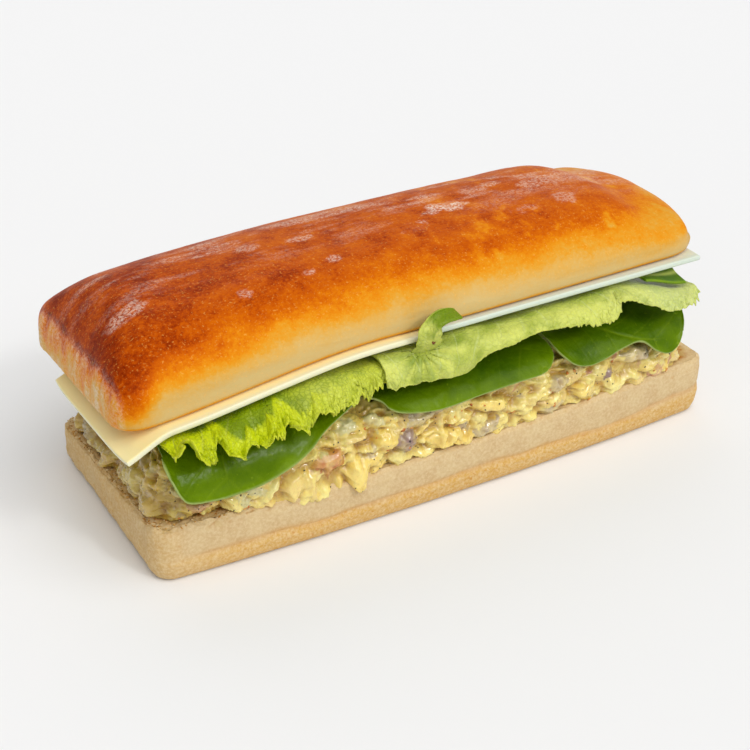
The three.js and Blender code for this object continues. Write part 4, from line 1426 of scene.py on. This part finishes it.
@dataclass(frozen=True)
class SpinachLeaf:
    """One spinach leaf: its two edges as ways from the fold line over its length, and its slow wave."""

    node: str
    left: float
    right: float
    outer: Curve
    inner: Curve
    top: float
    wave: float
    phase: float
    midrib: tuple[float, float, float, float]
    light: float = 0.0
    thickness: float = 0.7
    bend: float = 13.4
    columns: int = 200
    rows: int = 150

    def veins(self, x: Array, way: Array) -> tuple[Array, Array]:
        """Shares of the bowed midrib and of the side veins that leave it on both sides."""
        start_x, start_way, end_x, end_way = self.midrib
        rib = np.array([end_x - start_x, end_way - start_way])
        length = float(np.hypot(*rib))
        rib = rib / length
        along = (x - start_x) * rib[0] + (way - start_way) * rib[1]
        beside = -(x - start_x) * rib[1] + (way - start_way) * rib[0]
        bow = 2.5 * np.sin(np.pi * along / length)
        taper = mix(0.55, 0.2, np.clip(along / length, 0, 1))
        main = bell(beside, bow, taper) * plateau(along, (-2.0, 6.0), (length - 10.0, length))
        spread = np.abs(beside - bow)
        bend = 1.2 * np.sin(0.21 * spread * np.sign(beside - bow))
        rhythm = np.mod(along - 0.9 * spread + bend, 9.0) - 4.5
        return main, bell(rhythm, 0.0, 0.35) * (1 - smoothstep(spread, 2.0, 22.0))

    def surface(self) -> Surface:
        """Sheet between the inner and the outer edge, draped over the shoulder of the salad.

        A midrib and its side veins are low grooves; the rim is a slightly thicker bead that curls out.
        """
        u = shares(self.columns)[None, :]
        v = shares(self.rows, 0.8)[:, None]
        x = mix(self.left, self.right, (1 - np.cos(np.pi * u)) / 2) + 0 * v
        outer, inner = read_curve(self.outer, x), read_curve(self.inner, x)
        way = mix(inner, outer, v)
        y, z = draped(way, STACK.fold_line, self.top, self.bend)
        ripple = self.wave * np.sin(x * 0.13 + way * 0.06 + self.phase)
        on_top = smoothstep(-way, -4.0, 10.0)
        y = y - (1 - on_top) * (0.5 + 0.6 * ripple)
        z = z + on_top * ripple
        middle = np.stack([x, y, z], axis=-1)
        to_edge = np.minimum(outer - way, np.minimum(x - self.left, self.right - x) * 0.9)
        main, side = self.veins(x, way)
        crinkle = Noise(97).fractal(middle, 3.6, 4, 0.6)
        swell = Noise(101).fractal(middle, 13.0, 2)
        normals = grid_normals(middle, wraps=False)
        curl = bell(to_edge, 0.0, 1.6)
        depth = 0.24 * crinkle + 0.45 * swell * (1 - curl) - 0.28 * main - 0.10 * side
        middle = middle - normals * depth[..., None]
        middle[..., 1] -= 0.5 * curl * (1 - on_top)
        # The pale rim is the curled edge of the leaf with a painted highlight along it; within 5 mm of the
        # edge the green is lighter too, as part of that painted highlight, on top of the leaf's own lighter
        # tone.
        rim_width = mix(0.26, 0.75, smoothstep(-x, 40.0, 60.0))
        light = 0.25 * (1 - smoothstep(to_edge, 0.0, 5.0)) + self.light
        values = {
            "lighter_green": np.clip(0.3 + 0.35 * swell + light, 0, 1),
            "vein": np.clip(main + 0.45 * side, 0, 1),
            "rim": 0.62 * (1 - smoothstep(to_edge, 0.05, rim_width)),
        }
        return sheet(middle, self.thickness + 0.25 * bell(to_edge, 0.5, 0.6), values)


SPINACH_LEAVES = (
    SpinachLeaf(
        "spinach_leaf_left", -96.9, -30.0,
        ((-96.9, 9), (-96.2, 12), (-94.9, 16.4), (-92.5, 19.1), (-86, 20.6), (-79.6, 21.3), (-69.7, 20.9),
         (-59.5, 17.9), (-52, 14.4), (-45.4, 9.9), (-38, 6.5), (-30, 3)),
        ((-96.9, 6), (-96.2, 3), (-95.4, 0.4), (-90, -34), (-72, -68), (-50, -60), (-36, -30), (-30, -6)),
        43.4, 0.7, 0.4, (-66.0, -60.0, -80.0, 20.0), light=0.22,
    ),
    SpinachLeaf(
        "spinach_leaf_middle", -28.0, 40.0,
        ((-28, 3), (-24, 6.5), (-22.5, 9.5), (-18, 12), (-6, 14), (9, 13.8), (24, 13.2), (34, 12.4),
         (38.8, 8.5), (40, 4.3)),
        ((-28, -8), (-20, -42), (0, -66), (22, -64), (35, -36), (40, -8)),
        43.4, 0.6, 2.2, (10.0, -62.0, 30.0, 2.0),
    ),
    SpinachLeaf(
        "spinach_leaf_right", 40.8, 93.5,
        ((40.8, 4), (41.9, 8.6), (45.6, 13.4), (51.1, 15.3), (57.4, 14.5), (64.9, 12.6), (72.5, 12.1),
         (77.6, 16.5), (82.9, 19), (87.2, 17.3), (91.4, 11.3), (93.5, 6)),
        ((40.8, -8), (48, -44), (62, -68), (80, -62), (90, -34), (93.5, -8)),
        43.8, 0.8, 4.1, (58.0, 2.0, 84.0, 14.0),
    ),
)


@dataclass
class Spinach:
    """The three spinach leaves that hang over the near side."""

    leaves: tuple[SpinachLeaf, ...] = SPINACH_LEAVES

    def build(self, effects: Effects) -> None:
        """Builds and dresses each leaf."""
        finish = LeafFinish(
            "spinach_leaf", roughness=0.42, specular=0.12, specular_tint=(0.8, 1.0, 0.35), relief_mm=0.2,
            coat=0.1, coat_roughness=0.2,
            deep=srgb(50, 84, 0), lighter_green=srgb(112, 142, 0), vein=srgb(132, 156, 24), rim=srgb(192, 204, 132),
            speck_share=0.5,
        )
        material = finish.material(effects)
        for leaf in self.leaves:
            make_piece(f"{leaf.node}_dressed", leaf.surface(), material, [leaf.node])


@dataclass(frozen=True)
class LettuceLeaf:
    """One lettuce leaf: its near edge as a way from the fold line, how it hangs and how it ruffles."""

    node: str
    left: float
    right: float
    inner: float
    under: Callable[[Array], Array]
    bend: Callable[[Array], Array]
    ruffle: Callable[[Array], Array]
    frill: Callable[[Array], Array]
    jag: Callable[[Array], Array]
    pitch: float
    phase: float
    columns: int
    edge: Curve = ()
    rim: Curve = ()
    upturn: tuple[float, float, float] = (0.0, 1.0, 0.0)
    pinch: tuple[float, float, float] = (0.0, 0.0, 0.0)
    paling: tuple[float, float] = (50.0, 92.0)
    tooth: float = 1.5
    rows: int = 150
    thickness: float = 0.8
    fold_line: float = -40.0

    def reach(self, x: Array, top: Array) -> Array:
        """Way at which the leaf ends: its smooth edge, or the height of its lobed rim where one is given."""
        if not self.rim:
            return read_curve(self.edge, x)
        knots = np.array(self.rim)
        bend = self.bend(x)
        return top - bend + bend * np.pi / 2 - np.interp(x, knots[:, 0], knots[:, 1])

    def hanging(self) -> tuple[Array, Array, Array, Array]:
        """The leaf without its frill: it lies under the cheese, in slow folds, and turns down at its end.

        Returns:
            Grid of points, the way out from the fold line, the way left to the toothed edge and a slow wave.
        """
        x = mix(self.left, self.right, shares(self.columns)[None, :]) + 0 * shares(self.rows)[:, None]
        top = STACK.cheese_under(x, np.full_like(x, self.fold_line)) - self.under(x)
        flat = np.stack([x, 0 * x, 0 * x], axis=-1)
        notch = np.mod(x / self.tooth + 2.4 * Noise(107).fractal(flat, (3.2, 1.0, 1.0), 3), 1.0)
        uneven_teeth = 1 + Noise(103).at(flat, (2.3, 1.0, 1.0))
        teeth = (1.0 - np.abs(2.0 * notch - 1.0)) * self.jag(x) * uneven_teeth
        reach = self.reach(x, top) + teeth - 0.4
        way = mix(-self.inner, reach, shares(self.rows, 0.5)[:, None])
        y, z = draped(way, self.fold_line, top, self.bend(x))
        out = smoothstep(way, -14.0, 10.0)
        fold = np.sin(2 * np.pi * x / self.pitch + self.phase + 0.05 * way)
        slow = np.sin(x * 0.11 + way * 0.09 + 1.5)
        quick = np.sin(x * 0.19 - way * 0.12 + 0.6)
        room = (top - 43.4 - 2.6) / 2.25
        depth = mix(np.minimum(room, 1.4), np.minimum(room, 4.8), smoothstep(-way, 12.0, 34.0))
        y = y - out * self.ruffle(x) * 0.5 * (1 + fold)
        z = z + (1 - out) * depth * (0.62 * slow + 0.38 * quick - 1.25)
        return np.stack([x, y, z], axis=-1), way, reach - way, slow

    def frilled(self, points: Array, from_edge: Array, wide: Array, rim_zone: Array, spread: Array) -> Array:
        """Points moved by the frill: lobes and finer curls, which grow towards the rim and flare forward.

        Args:
            points: grid of points without the frill.
            from_edge: way left to the edge in mm.
            wide: slow noise that makes the lobes uneven.
            rim_zone: share that grows from 0 inside to 1 at the edge.
            spread: places at which the noise is read.

        Returns:
            The moved grid.
        """
        x, y, z = np.moveaxis(points, -1, 0)
        frill, tip = self.frill(x), rim_zone**2
        lobe = 2 * np.pi * x / 8.2 + 0.35 * from_edge + 3.4 * Noise(167).fractal(spread, (7.0, 6.0, 7.0), 2)
        curl = 2 * np.pi * x / 3.3 - 0.9 * from_edge + 4.2 * Noise(173).fractal(spread, (3.2, 2.4, 3.0), 2)
        forward = 1.8 * rim_zone + 1.5 * rim_zone * np.sin(lobe) + 0.8 * rim_zone * np.sin(curl)
        forward = forward + 1.6 * rim_zone * wide
        y = y - frill * forward
        z = z + frill * (0.6 * forward + 0.3 * tip * np.cos(curl))
        x = x - frill * (1.0 * rim_zone * np.cos(lobe) + 0.22 * tip * np.cos(curl))
        return np.stack([x, y, z], axis=-1)

    def surface(self) -> Surface:
        """Sheet from the far edge to the near edge, with frill, pinched pleats, upturned corner and ribs."""
        smooth, way, from_edge, slow = self.hanging()
        frill, out = self.frill(smooth[..., 0]), smoothstep(way, -14.0, 10.0)
        rim_zone = np.clip(1 - from_edge / 7.0, 0, 1) ** 1.2 * smoothstep(way, -6.0, 4.0)
        spread = np.stack([smooth[..., 0], from_edge, 0.3 * way], axis=-1)
        wide = Noise(131).fractal(spread, (4.6, 5.0, 6.0), 3, 0.5)
        middle = self.frilled(smooth, from_edge, wide, rim_zone, spread)
        x = middle[..., 0]
        pinch_x, pinch_way, pinch_depth = self.pinch
        aside, over = x - pinch_x, way - pinch_way
        angle, away = np.arctan2(over, aside), np.hypot(aside, over)
        pleats = np.sin(13.0 * angle + 1.5 * slow) * np.exp(-away / 11.0) * smoothstep(away, 1.0, 5.0)
        upturn_x, upturn_width, upturn_height = self.upturn
        lift = bell(x, upturn_x, upturn_width) * np.exp(-from_edge / 2.2) * frill
        middle[..., 1] -= pinch_depth * pleats
        middle[..., 1] -= 0.3 * upturn_height * lift
        middle[..., 2] += upturn_height * lift
        normals = grid_normals(middle, wraps=False)
        blister = Noise(113).fractal(middle, 3.0, 3, 0.6)
        wander = Noise(109).fractal(smooth * np.array([1.0, 0.0, 0.0]), (9.0, 1.0, 1.0), 2)
        fan = np.sin(x * 0.8 + 0.35 * way * np.sin(x * 0.07 + 1.0) + 2.5 * wander)
        ribs = bell(fan, 1.0, 0.03) * smoothstep(from_edge, 1.0, 5.0) * smoothstep(way, -12.0, 2.0)
        ribs = (0.6 + 0.8 * wander) * ribs + pinch_depth * np.clip(pleats, 0, 1) ** 2
        middle = middle - normals * (0.3 * blister * out - 0.12 * ribs * out)[..., None]
        # Painted shade: the green is lighter in the frill band and darkens towards the cheese, under which
        # the inner zone lies.
        start = mix(8.6, 13.0, 1 - smoothstep(x, -84.0, -72.0))
        bright = smoothstep(start - from_edge - 3.0 * wide, 0.0, 2.8)
        pale = smoothstep(x, -70.0, -30.0)
        patches = Noise(181).fractal(spread, (7.0, 4.0, 9.0), 4, 0.6)
        lighter_green = 0.05 + 0.9 * bright * frill + 0.5 * pale + 0.6 * wide * rim_zone + 0.5 * patches
        values = {
            # Painted shade: darker in the pleat creases.
            "lighter_green": np.clip(lighter_green - 0.3 * pleats, 0, 1),
            "vein": np.clip(ribs + 1.7 * smoothstep(x, *self.paling) * (1 - 0.3 * bright), 0, 1),
            # Thin pale rim along the toothed edge: a painted highlight.
            "rim": 0.5 * (1 - smoothstep(from_edge, 0.1, 0.7)),
        }
        return sheet(middle, mix(self.thickness, 0.4, np.exp(-from_edge / 3.0)), values)


@dataclass(frozen=True)
class RolledFlap:
    """Tongue of the long lettuce that rises out of it, passes over the edge of the cheese and rolls right.

    Its middle line and its half width are curves over the share of its length: x, y, z and half width in mm.
    """

    middle: tuple[tuple[float, float, float, float, float], ...] = (
        (0.0, -9.6, -43.6, 57.0, 5.6),
        (0.2, -9.8, -46.0, 60.2, 4.9),
        (0.4, -10.4, -47.4, 63.2, 4.5),
        (0.6, -9.6, -47.6, 66.4, 4.3),
        (0.8, -7.0, -47.2, 68.8, 3.0),
        (1.0, -0.6, -46.6, 69.2, 1.7),
    )
    specks: tuple[tuple[float, float], ...] = ((-10.0, 62.6), (-9.1, 62.2), (-9.6, 62.0))
    columns: int = 70
    rows: int = 120

    def sheet_middle(self) -> tuple[Array, Array, Array]:
        """Grid of middle points, with the shares across and along."""
        u = np.linspace(-1.0, 1.0, self.columns)[None, :]
        v = shares(self.rows)[:, None]
        knots = np.array(self.middle)
        x0, y0, z0, half = (read_curve(knots[:, [0, axis]], v) for axis in (1, 2, 3, 4))
        half = half * np.sqrt(np.clip(1 - (np.clip(v - 0.88, 0, 1) / 0.125) ** 2, 0.04, 1))
        turn = smoothstep(v, 0.35, 1.0) * 1.5
        frill = 0.5 * np.sin(9.0 * v + 2.0) * u + 0.35 * np.sin(31.0 * v) * np.abs(u) ** 3
        x = x0 + half * (u + 0.12 * frill) * np.cos(turn)
        z = z0 - half * u * np.sin(turn) + 0.5 * frill * v
        roll = smoothstep(v, 0.2, 0.6)
        y = y0 + roll * (1.9 * u**2 - 1.5 * bell(u, -0.15, 0.3)) + (1 - roll) * 1.4 * u**2
        y = y + 0.9 * roll * np.sin(4.0 * u + 5.0 * v)
        return np.stack([x, y + 0 * x, z], axis=-1), u + 0 * v, v + 0 * u

    def surface(self) -> Surface:
        """Sheet with painted shade along the fold of its roll, paler below and darker towards its tip, and a
        pale rim that is partly a painted highlight.
        """
        middle, u, v = self.sheet_middle()
        wrinkle = Noise(179).fractal(middle, 2.2, 3)
        # Painted shade along the fold of the roll.
        fold = bell(u - 0.25 + 0.5 * v, 0.0, 0.14) * smoothstep(v, 0.35, 0.55)
        values = {
            "lighter_green": np.clip(0.75 - 0.75 * smoothstep(v, 0.62, 0.8) - 0.6 * fold + 0.4 * wrinkle, 0, 1),
            "vein": 0.5 * bell(u, -0.5, 0.05) * (1 - v),
            # Pale rim along the sides: a painted highlight.
            "rim": 0.5 * smoothstep(np.abs(u), 0.93, 1.0) * smoothstep(v, 0.25, 0.4),
        }
        return sheet(middle + wrinkle[..., None] * np.array([0.0, 0.3, 0.1]), 0.6, values)

    def rust(self) -> Surface:
        """The few rust-coloured specks on it, each at the surface point nearest to its place."""
        middle = self.sheet_middle()[0].reshape(-1, 3)
        nearest = [int(np.argmin(np.hypot(middle[:, 0] - x, middle[:, 2] - z))) for x, z in self.specks]
        centre = middle[nearest] - np.array([0.0, 0.35, 0.0])
        out = np.tile([0.0, -1.0, 0.0], (len(nearest), 1))
        return grains(centre, out, 0.42, 1.4, [srgb(92, 26, 10), srgb(120, 44, 14)], np.random.default_rng(3))


def strip_surface() -> Surface:
    """Narrow strip of lettuce between cheese and lettuce at the right end, with a light rib along it."""
    u, v = shares(110)[None, :], shares(60)[:, None]
    x = mix(76.0, 93.0, u) + 0 * v
    y = mix(-41.5, -14.0, v) + 0 * u
    near = LETTUCE_LEAVES[1].under(x) - 1.3
    z = STACK.cheese_under(x, y) - mix(near, 1.2, smoothstep(v, 0.0, 0.6)) + 0.2 * u * np.sin(20 * v)
    values = {
        "lighter_green": 0.15 + 0.3 * smoothstep(v, 0.25, 0.5) + 0 * x,
        "vein": bell(v - 0.14 - 0.08 * u, 0.0, 0.035) + 0 * x,
        "rim": 0.3 * (1 - smoothstep(np.minimum(v, 1 - v) + 0 * x, 0.0, 0.05)),
    }
    return sheet(np.stack([x, y, z], axis=-1), 0.8, values)


LETTUCE_LEAVES = (
    LettuceLeaf(
        "lettuce_left", -97.0, -22.4, 80.0,
        under=lambda x: 1.4 + 2.3 * smoothstep(x, -46.0, -28.0),
        bend=lambda x: 8.0 - 2.0 * smoothstep(x, -46.0, -28.0),
        ruffle=lambda x: 2.6 * (1 - smoothstep(x, -46.0, -27.0)),
        frill=lambda x: 1.0 - 0.3 * smoothstep(x, -60.0, -25.0),
        jag=lambda x: 1.2 + 0 * x,
        pitch=11.0, phase=0.6, columns=720, upturn=(-92.6, 2.0, 7.0), tooth=1.5, paling=(-66.0, -36.0),
        rim=(
            (-98.9, 54.0), (-96.8, 48.5), (-93.2, 46.6), (-91.0, 48.4), (-88.6, 45.2), (-84.8, 45.4),
            (-82.9, 44.0), (-81.6, 49.8), (-80.4, 49.0), (-79.6, 44.8), (-77.4, 43.0), (-74.6, 42.2),
            (-72.6, 45.8), (-71.0, 43.8), (-68.0, 45.2), (-65.8, 47.8), (-63.7, 47.0), (-61.4, 51.0),
            (-59.8, 49.6), (-57.8, 46.6), (-54.6, 46.2), (-51.6, 47.3), (-50.4, 50.4), (-48.6, 48.6),
            (-45.4, 48.8), (-43.9, 51.2), (-41.4, 49.4), (-38.0, 49.1), (-36.2, 51.4), (-34.5, 50.4),
            (-31.4, 49.0), (-29.6, 51.6), (-27.0, 51.0), (-24.0, 52.0), (-22.0, 55.0),
        ),
    ),
    LettuceLeaf(
        "lettuce_right", -26.0, 97.0, 79.0,
        under=lambda x: 1.4 + 3.2 * smoothstep(x, 60.0, 90.0) + 3.5 * smoothstep(x, 76.0, 95.0),
        bend=lambda x: 8.0 + 0 * x,
        ruffle=lambda x: 1.5 * smoothstep(x, -26.0, -16.0),
        frill=lambda x: 0.12 + 0.35 * (1 - smoothstep(x, -24.0, -14.0)) + 0.3 * smoothstep(x, 30.0, 60.0),
        jag=lambda x: 0.2 + 1.6 * bell(x, 54.0, 9.0) + 1.2 * smoothstep(x, 84.0, 92.0)
        + 1.2 * (1 - smoothstep(x, -24.0, -16.0)),
        pitch=23.0, phase=2.4, columns=620, tooth=2.3, pinch=(-12.0, 3.0, 0.9),
        edge=(
            (-26, 12.5), (-18, 14), (-8, 14), (2, 15), (14, 10), (40, 9), (56, 12), (63, 6), (72, 9),
            (82, 11.2), (97, 4.5),
        ),
    ),
)


@dataclass
class Lettuce:
    """The two lettuce leaves, the flap that curls over the cheese and the strip at the right end."""

    leaves: tuple[LettuceLeaf, ...] = LETTUCE_LEAVES

    def build(self, effects: Effects) -> None:
        """Builds and dresses the leaves."""
        common = {
            "roughness": 0.38, "specular": 0.22, "specular_tint": (0.95, 1.0, 0.6), "subsurface": 0.18,
            "subsurface_radius": (0.9, 1.0, 0.08), "subsurface_mm": 1.0, "relief_mm": 0.16,
        }
        frilly = LeafFinish(
            "frilled_lettuce", **common, deep=srgb(118, 142, 6), lighter_green=srgb(200, 212, 16), coat=0.15,
            vein=srgb(200, 206, 100), rim=srgb(220, 226, 60), cell_mm=1.4, cell_share=0.6,
        )
        smooth = LeafFinish(
            "smooth_lettuce", **common, deep=srgb(112, 138, 8), lighter_green=srgb(210, 216, 108), coat=0.08,
            vein=srgb(212, 222, 156), rim=srgb(206, 214, 96), vein_share=0.45, cell_mm=1.8, cell_share=0.2,
        )
        dark = LeafFinish(
            "shaded_lettuce", **common, deep=srgb(62, 108, 0), lighter_green=srgb(150, 180, 20),
            vein=srgb(206, 218, 110), rim=srgb(170, 196, 60), vein_share=0.9,
        )
        left, right = self.leaves
        make_piece("lettuce_left_frilled", left.surface(), frilly.material(effects), [left.node])
        flap = RolledFlap()
        long_leaf = Surface.joined([right.surface(), flap.surface()])
        make_piece("lettuce_right_long", long_leaf, smooth.material(effects), [right.node])
        rust = TintFinish("rust_speck", roughness=0.6, variation=0.1)
        make_piece("rust_specks", flap.rust(), rust.material(effects))
        strip = "lettuce_strip_right"
        make_piece(f"{strip}_ribbed", strip_surface(), dark.material(effects), [strip])


# Cheese


@dataclass(frozen=True)
class CheeseSlice:
    """One slice of cheese under the bun, with its near edge past the bread."""

    node: str
    left: float
    right: float
    near: float
    far: float
    face: Colour
    edge: Colour
    corner: float = 0.8

    def surface(self) -> Surface:
        """Slab with rounded edges.

        The section is a flattened ring: going round it, the surface runs out over the top face, round the cut
        edge by half a circle and back below. The slab follows the underside of the bread.
        """
        thickness, lip = STACK.cheese_thickness, 0.7
        u, v = shares(280)[None, :], shares(110)[:, None]
        u, v = u - np.sin(2 * np.pi * u) / (2.2 * np.pi), v - np.sin(2 * np.pi * v) / (2.4 * np.pi)
        corner = self.corner * (2 * v - 1) ** 6
        x = mix(self.left + corner, self.right - corner, u)
        y = mix(self.near, self.far, v) + 0 * u
        to_edge = np.minimum(np.minimum(u, 1 - u) * (self.right - self.left), np.minimum(v, 1 - v) * 62.0)
        thin = 0.7 * (1 - smoothstep(to_edge, 1.0, 9.0))
        wave = 0.25 * np.sin(x * 0.09 + 1.0) + 0.15 * np.sin(x * 0.21)
        z = STACK.cheese_under(x, y) + thickness / 2 - 0.2 * wave * smoothstep(-y, 36.0, 43.0)
        rounding = np.sqrt(1 - (1 - np.clip(to_edge / lip, 0, 1)) ** 2)
        section = thickness - thin - 2 * lip * (1 - rounding)
        # Painted cool light: the near cut edge, and the thin rounded rim all round, take the cooler edge
        # colour.
        painted_cool_light_front = (1 - smoothstep(y - self.near, -0.4, 3.2)) * smoothstep(x, -101.0, -90.0)
        values = {"edge": np.maximum(painted_cool_light_front, 1 - smoothstep(to_edge, 0.0, 0.4))}
        return sheet(np.stack([x, y, z], axis=-1), section, values)


@dataclass
class Cheese:
    """The two slices, the left one more yellow than the right one."""

    slices: tuple[CheeseSlice, ...] = (
        # Each slice's second colour is its cut edge, painted cool light.
        CheeseSlice("cheese_slice_left", -109.0, -9.0, -43.0, 19.0, srgb(254, 238, 170), srgb(234, 231, 198)),
        CheeseSlice("cheese_slice_right", -8.2, 98.8, -41.6, 22.0, srgb(224, 226, 204), srgb(210, 221, 206)),
    )

    def build(self, effects: Effects) -> None:
        """Builds and dresses each slice."""
        for piece in self.slices:
            finish = CheeseFinish(
                piece.node.replace("slice", "face"), roughness=0.42, specular=0.4, subsurface=0.12,
                subsurface_radius=(1.0, 0.8, 0.4), subsurface_mm=1.5, relief_mm=0.05, face=piece.face,
                edge=piece.edge,
            )
            make_piece(f"{piece.node}_cut", piece.surface(), finish.material(effects), [piece.node])


# Studio


@dataclass(frozen=True)
class SoftLamp:
    """Even light from one side, soft because it comes from a wide disk far away."""

    name: str
    toward: tuple[float, float, float]
    width_deg: float
    strength: float

    def build(self) -> None:
        """Adds the lamp, shining from the given direction."""
        data = bpy.data.lights.new(self.name, "SUN")
        data.angle = math.radians(self.width_deg)
        data.energy = self.strength * math.pi
        lamp = bpy.data.objects.new(self.name, data)
        lamp.location = Vector(self.toward).normalized() * 2.0
        lamp.rotation_mode = "QUATERNION"
        lamp.rotation_quaternion = Vector(self.toward).to_track_quat("Z", "Y")
        bpy.context.scene.collection.objects.link(lamp)


@dataclass
class Studio:
    """Pale floor, soft light from all round and the camera."""

    azimuth_deg: float = 29.2
    elevation_deg: float = 31.2
    distance_mm: float = 545.0
    target_mm: tuple[float, float, float] = (-3.5, 0.0, 23.9)
    focal_share: float = 1603.0 / 750.0
    sensor_mm: float = 36.0
    floor_size: float = 6.0
    floor_drop: float = 0.0002
    sky: float = 0.34
    seen_sky: float = 0.92
    lamps: tuple[SoftLamp, ...] = (
        SoftLamp("key_lamp", (0.10, -0.52, 0.83), 60.0, 0.58),
        SoftLamp("glint_lamp", (0.30, -0.72, 0.62), 7.0, 0.16),
        SoftLamp("fill_lamp", (-0.9, -0.5, 0.6), 60.0, 0.06),
        SoftLamp("rear_lamp", (0.1, 0.9, 0.9), 50.0, 0.12),
    )

    def camera(self) -> None:
        """Camera on a ball round the target, turned to it: the axes are right, up and back."""
        azimuth, elevation = math.radians(self.azimuth_deg), math.radians(self.elevation_deg)
        back = Vector((
            -math.sin(azimuth) * math.cos(elevation), -math.cos(azimuth) * math.cos(elevation),
            math.sin(elevation),
        ))
        right = Vector((0, 0, 1)).cross(back).normalized()
        up = back.cross(right)
        data = bpy.data.cameras.new("camera")
        data.sensor_width = self.sensor_mm
        data.lens = self.focal_share * self.sensor_mm
        data.clip_start, data.clip_end = 0.05, 20.0
        camera = bpy.data.objects.new("camera", data)
        place = (Vector(self.target_mm) + back * self.distance_mm) * MM
        turn = Matrix((right, up, back)).transposed().to_4x4()
        camera.matrix_world = Matrix.Translation(place) @ turn
        bpy.context.scene.collection.objects.link(camera)
        bpy.context.scene.camera = camera

    def floor(self) -> None:
        """Plain pale floor, a hair under the sandwich."""
        half = self.floor_size / 2
        mesh = bpy.data.meshes.new("floor")
        corners = [(-half, -half, 0), (half, -half, 0), (half, half, 0), (-half, half, 0)]
        mesh.from_pydata(corners, [], [(0, 1, 2, 3)])
        material = bpy.data.materials.new("pale_floor")
        material.use_nodes = True
        shader = material.node_tree.nodes["Principled BSDF"]
        shader.inputs["Base Color"].default_value = (0.88, 0.88, 0.88, 1.0)
        shader.inputs["Roughness"].default_value = 0.9
        shader.inputs["Specular IOR Level"].default_value = 0.0
        mesh.materials.append(material)
        floor = bpy.data.objects.new("floor", mesh)
        floor.location.z = -self.floor_drop
        bpy.context.scene.collection.objects.link(floor)

    def build(self) -> None:
        """Sets up world, lamps, floor and camera, and shows colours as they are."""
        scene = bpy.context.scene
        world = bpy.data.worlds.new("soft_sky")
        world.use_nodes = True
        graph = Graph(world.node_tree)
        seen = graph.add("ShaderNodeLightPath").outputs["Is Camera Ray"]
        strength = graph.plus(graph.times(seen, self.seen_sky - self.sky), self.sky)
        world.node_tree.links.new(strength, world.node_tree.nodes["Background"].inputs["Strength"])
        world.node_tree.nodes["Background"].inputs["Color"].default_value = (1.0, 1.0, 1.0, 1.0)
        scene.world = world
        scene.view_settings.view_transform = "Standard"
        for lamp in self.lamps:
            lamp.build()
        self.floor()
        self.camera()


def main() -> None:
    """Builds the sandwich from the bottom up, then the studio."""
    logging.basicConfig(level=logging.INFO, format="%(name)s %(message)s")
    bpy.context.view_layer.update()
    effects = Effects()
    LowerHalf().build(effects)
    SaladHeap().build(effects)
    Spinach().build(effects)
    Lettuce().build(effects)
    Cheese().build(effects)
    UpperHalf().build(effects)
    Studio().build()
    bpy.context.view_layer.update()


if __name__ == "__main__":
    main()
